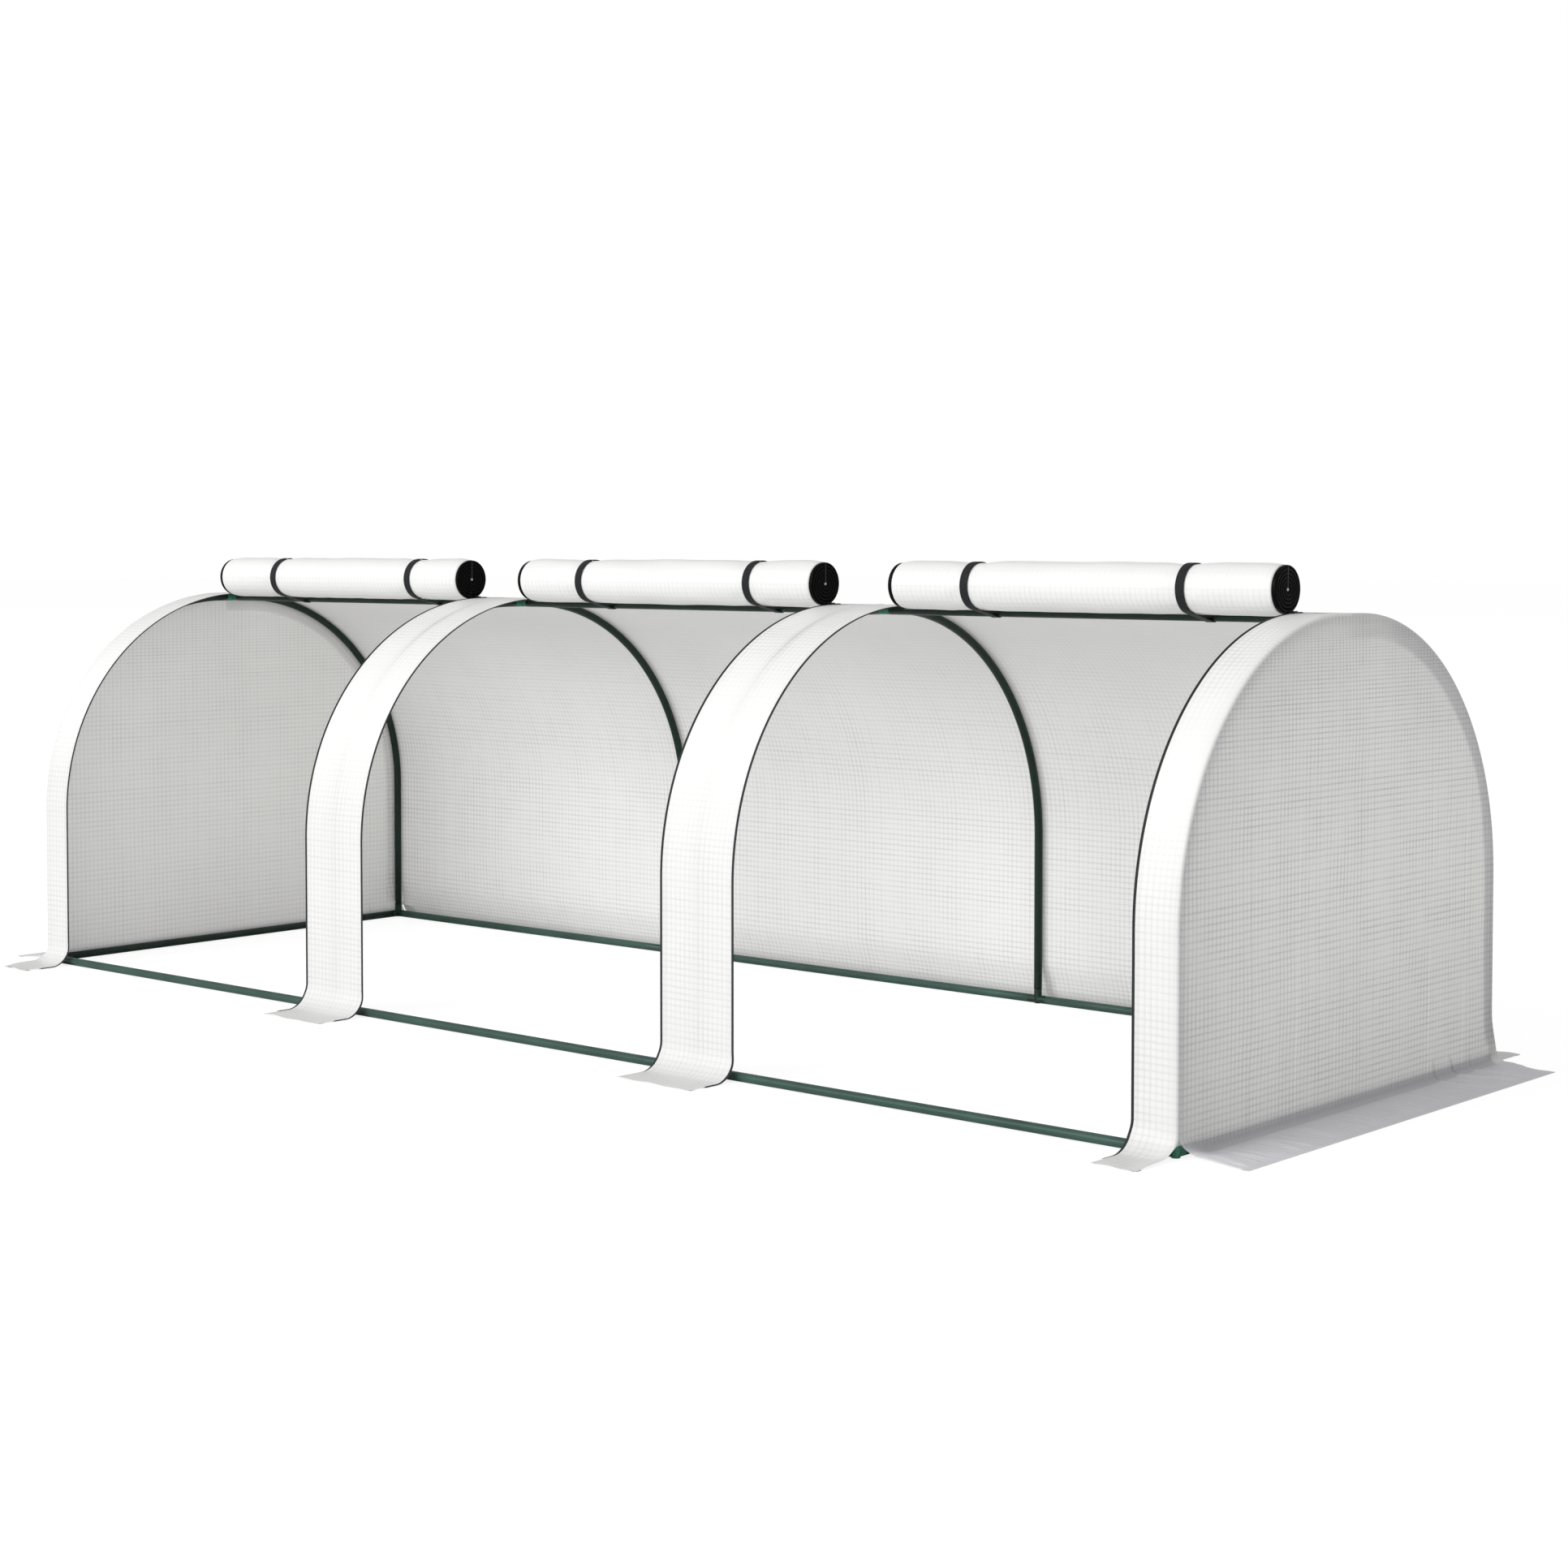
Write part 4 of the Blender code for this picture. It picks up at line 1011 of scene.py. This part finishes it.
def rolled_doors(sheet_material, zip_material, pin_material, line_material):
    """Each door wound up from its hem, with the zip halves wound up in its ends."""
    first = np.linspace(0, 2.2 * math.pi, 88, endpoint=False)
    turned = np.concatenate([first, np.linspace(2.2 * math.pi, TURNS * 2 * math.pi, 150)])
    for number in DOORS:
        low, high, cloth_low, cloth_high = door_ends(number)
        x, t = np.meshgrid(roll_columns(number), turned)
        radius, angle = wound(t, roll_radius(x, number) - ROLL_SKIN)
        off = strap_distance(x, number)
        free = smooth(off, 0.0, 0.012) * smooth(np.minimum(x - cloth_low, cloth_high - x), 0.0, 0.012)
        pleat = np.sin(angle * 7 + 2.5 * np.sin(x * 23 + number) + number) * bump_at(off, 0.010, 0.012)
        slack = ripple(x * 0.6, angle * ROLL_RADIUS, 60 + number, *ROLL_WAVES)
        soft = np.clip(PLEAT * pleat + slack - 0.0004, -0.002, GAP) * free
        radius = radius + soft * smooth(t, TURNS * 6, 0)
        # Painted shade all over the roll, and more at its ties
        piece = surface(f"door_{number}_rolled_sheet", stacked(x, *on_roll(radius, angle)),
                        stacked(x, t * ROLL_RADIUS), sheet_material, flip=True,
                        painted_light_and_threads=sheet_tone(ROLL_SHADE + TIE_SHADE * bump_at(off, 0.004, 0.008),
                                        0.25 + 0.6 * bump_at(angle % (2 * math.pi), ROLL_NET_ANGLE, 0.5)))
        settle(piece, f"door_{number}", f"door_{number}_roll")
        for label, edge, sign in (("left", low, -1), ("right", high, 1)):
            wound_zip(number, label, edge, sign, zip_material, pin_material, line_material)


PIN_RADIUS = 0.0027
PIN_RISE = 0.0012
PIN_SUNK = 0.4
PIN_ROOT = 0.0032
TAIL_RADIUS = 0.0005


def wound_zip(number, label, edge, sign, zip_material, pin_material, line_material):
    """The door's half of a zip, wound up with the cloth: turns of tape and coil that lie close on each other.

    The section is a squared oval, |cos| and |sin| to the power 0.6, as wide as the zip's band and nearly
    as thick as the distance from one turn to the next. In the middle the zip's bottom pin just shows, a
    small domed disc, and the end of the binding is a thin line straight up from it to the rim.
    """
    door = f"door_{number}"
    turned = np.linspace(0, TURNS * 2 * math.pi, int(TURNS * 40))
    outside, angle = wound(turned, WOUND_ZIP_RADIUS)
    inside, _ = wound(turned + 2 * math.pi, WOUND_ZIP_RADIUS)
    around = np.linspace(0, 2 * math.pi, WIND_SIDES, endpoint=False)
    wide = np.sign(np.cos(around)) * np.abs(np.cos(around)) ** 0.6 * WOUND_ZIP_WIDTH / 2
    thick = np.sign(np.sin(around)) * np.abs(np.sin(around)) ** 0.6 * 0.98 / 2
    taper = np.clip(np.minimum(turned, turned[-1] - turned) / 0.15, 0.02, 1.0)[:, None]
    x = edge - sign * WOUND_ZIP_WIDTH / 2 + wide * taper
    r = ((outside + inside) / 2)[:, None] + thick * taper * (outside - inside)[:, None]
    piece = surface(f"{door}_wound_zip_{label}", stacked(x, *on_roll(r, angle[:, None])), None, zip_material,
                    wrap=True, flip=True)
    settle(piece, door)
    height = np.linspace(0, math.pi / 2, 7)[1:]
    radii = np.array([CLOSED, PIN_RADIUS, *(PIN_RADIUS * np.cos(height[:-1])), CLOSED])
    reach = np.array([-PIN_ROOT, -PIN_ROOT, *(PIN_RISE * (np.sin(height) - PIN_SUNK))])
    pin = rod(f"{door}_zip_pin_{label}", stacked(edge + sign * reach, ROLL_Y, ROLL_Z), radii, ALONG_Z[None], ALONG_Y,
              PIN_SIDES, pin_material, flip=sign > 0)
    settle(pin, door)
    rise = np.linspace(0.0, WOUND_ZIP_RADIUS - 0.002, 30)
    radii = np.full_like(rise, TAIL_RADIUS)
    radii[[0, -1]] = CLOSED
    line = rod(f"{door}_zip_tail_{label}", stacked(edge - sign * TAIL_RADIUS * 0.5, ROLL_Y, ROLL_Z + rise), radii,
               ALONG_Y[None], ALONG_X, THREAD_SIDES, line_material)
    settle(line, door)


def paid_out_sheets(material):
    """The stretch of each door between roof seam and roll.

    At rest it runs straight from the seam to where it touches the roll. Its rows are bunched there so that
    their shares of the door's turn are even, and its threads are laid out for the length that shows when
    the door is down.
    """
    start = np.array([-ROOF_FRONT_EDGE + SEAM_LAP * 0.4, TOP - 0.0002])
    end = np.array(on_roll(ROLL_RADIUS - ROLL_SKIN, LEAVING))
    turn_share = np.linspace(0, 1, 49)
    along = 0.5 - np.sin(np.arcsin(1 - 2 * turn_share) / 3)
    line = start + (end - start) * along[:, None]
    for number in DOORS:
        low, high, _, _ = door_ends(number)
        x = steps(low, high, PAID_OUT_CELL)[None, :]
        length = (turn_share * BEND_RADIUS * DOOR_SWING)[:, None]
        piece = surface(f"door_{number}_paid_out_sheet", stacked(x, line[:, :1], line[:, 1:]), stacked(x, length),
                        material, painted_light_and_threads=sheet_tone(0.0, 0.3))
        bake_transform(piece)


def strap_path():
    """A tie's centre line in (y, z): from the roof seam over and under the roll, round the ridge tube's back.

    It is an open belt round two circles: the outer tangents touch the roll and the tube where the radius
    leans by the arc cosine of the difference of radii over the distance of centres.
    """
    roll_r = ROLL_RADIUS - ROLL_PINCH + GAP + STRAP_THICKNESS / 2
    tube_r = TUBE_RADIUS + GAP + STRAP_THICKNESS / 2
    dy, dz = -ROLL_Y, RIDGE_Z - ROLL_Z
    towards = math.atan2(dz, dy)
    lean = math.acos((roll_r - tube_r) / math.hypot(dy, dz))
    over = np.linspace(towards + lean, towards - lean + 2 * math.pi, 72)
    under = np.linspace(towards - lean, towards + lean, 14)
    roll = stacked(*on_roll(roll_r, over))
    tube = stacked(tube_r * np.cos(under), RIDGE_Z + tube_r * np.sin(under))
    seam_z = TOP + GAP + STRAP_THICKNESS / 2
    share = (seam_z - tube[-1, 1]) / (roll[0, 1] - tube[-1, 1])
    seam = tube[-1] + (roll[0] - tube[-1]) * share
    lead = np.linspace(seam, roll[0], 8, endpoint=False)
    return lead, roll, np.linspace(roll[-1], tube[0], 10)[1:-1], tube


def belt(name, path, x_middle, material):
    """A flat strap with rounded edges along a (y, z) path: a slim oblong carried along it."""
    before, after = np.roll(path, 1, 0), np.roll(path, -1, 0)
    before[0], after[-1] = path[0], path[-1]
    along = (after - before) / np.linalg.norm(after - before, axis=1, keepdims=True)
    normal = stacked(along[:, 1], -along[:, 0])
    half_w, half_t = STRAP_WIDTH / 2, STRAP_THICKNESS / 2
    outline = np.array([(-1, 0), (-0.97, 0.8), (-0.9, 1), (0, 1.12), (0.9, 1), (0.97, 0.8), (1, 0), (0.97, -0.8),
                        (0.9, -1), (0, -1), (-0.9, -1), (-0.97, -0.8)]) * (half_w, half_t)
    y, z = (path[:, [k]] + normal[:, [k]] * outline[:, 1] for k in (0, 1))
    points = stacked(x_middle + outline[:, 0], y, z)
    length = np.concatenate([[0], np.cumsum(np.linalg.norm(np.diff(path, axis=0), axis=1))])
    uv = stacked(np.concatenate([outline[:, 0], outline[:1, 0]]), length[:, None])
    caps = [np.repeat(points[k:k + 1].mean(axis=1, keepdims=True), len(outline), 1) for k in (0, -1)]
    points = np.concatenate([caps[0], points, caps[1]])
    uv = np.concatenate([uv[:1], uv, uv[-1:]])
    return surface(name, points, uv, material, wrap=True)


def ties(material):
    """The webbing ties, each in two pieces: the part over the roll and the part round the ridge tube's back."""
    lead, roll, back, tube = strap_path()
    over = np.concatenate([lead, roll])
    around = np.concatenate([roll[-1:], back, tube])
    for number in DOORS:
        for label, place in zip(("left", "right"), strap_places(number)):
            loop = belt(f"door_{number}_tie_{label}", over, place, material)
            settle(loop, "root", f"door_{number}_strap_{label}")
            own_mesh(loop)
            anchor = belt(f"door_{number}_tie_anchor_{label}", around, place, material)
            settle(anchor, "root")


def dress_frame_nodes(materials):
    """Gives the solids that stay their own finish."""
    for name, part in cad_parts.items():
        found = [material for key, material in materials.items() if key in name]
        if found:
            part.data.materials.clear()
            part.data.materials.append(found[0])


make_stage()
sheet = reinforced_sheet("reinforced_polyethylene", "#F8F8F7", "#E6E6E5", "#F5F4F3", "#ACACAB", 0.30)
strip_sheet = reinforced_sheet("doubled_polyethylene", "#F8F8F7", "#EBEBEA", "#F2F2F1", "#C0C0BF", 0.11)
rolled_sheet = reinforced_sheet("rolled_polyethylene", "#F8F8F7", "#EBEBEA", "#F2F2F1", "#C8C8C7", 0.06)
# One steel in two copies: darker on the hoops, ridge tubes and end rails for painted shade, lighter on the front and
# rear rails for painted light
shaded_steel = powder_coated_steel("powder_coated_steel", "#0D2018", "#132A21")
lit_rail_steel = powder_coated_steel("powder_coated_steel_lit_rail", "#2F4840", "#3B5850")
plastic = moulded_polypropylene("moulded_polypropylene", "#33705A", "#3F7F68")
# A darker copy of the plugs' plastic, for painted shade on the base tees and the left corner plugs
shaded_plastic = moulded_polypropylene("moulded_polypropylene_base", "#122A21", "#183529")
webbing = polypropylene_webbing()
tape = polyester_zip_tape()
coil = nylon_coil("nylon_zip_coil", "#1A1C1D", "#2C2F31", 0.35, 0.3)
# Near-black, far darker than the open zip's coil and tape: painted shade of the tightly wound turns at the roll's ends
shaded_wound_coil = nylon_coil("nylon_zip_wound_shaded", "#020202", "#050505", 0.40, 0.06)
tail_thread = nylon_coil("nylon_binding", "#4C4D50", "#5C5D60", 0.5, 0.3)
zinc = painted_zinc("painted_zinc", "#26282B", "#8C8F93")
bare_zinc = painted_zinc("bare_zinc", "#B9BBBD", "#DADCDD")
roof_rear(sheet)
front_strips(strip_sheet)
end_sheets(sheet)
frame_tubes(shaded_steel, lit_rail_steel)
zip_lines(tape, coil)
rolled_doors(rolled_sheet, shaded_wound_coil, bare_zinc, tail_thread)
paid_out_sheets(sheet)
ties(webbing)
# The base tees and the left corner plugs take the darker copy: painted shade
dress_frame_nodes({"base_tee": shaded_plastic, "corner_plug_1": shaded_plastic, "plug": plastic, "tee": plastic,
                   "cross": plastic, "slider": zinc})
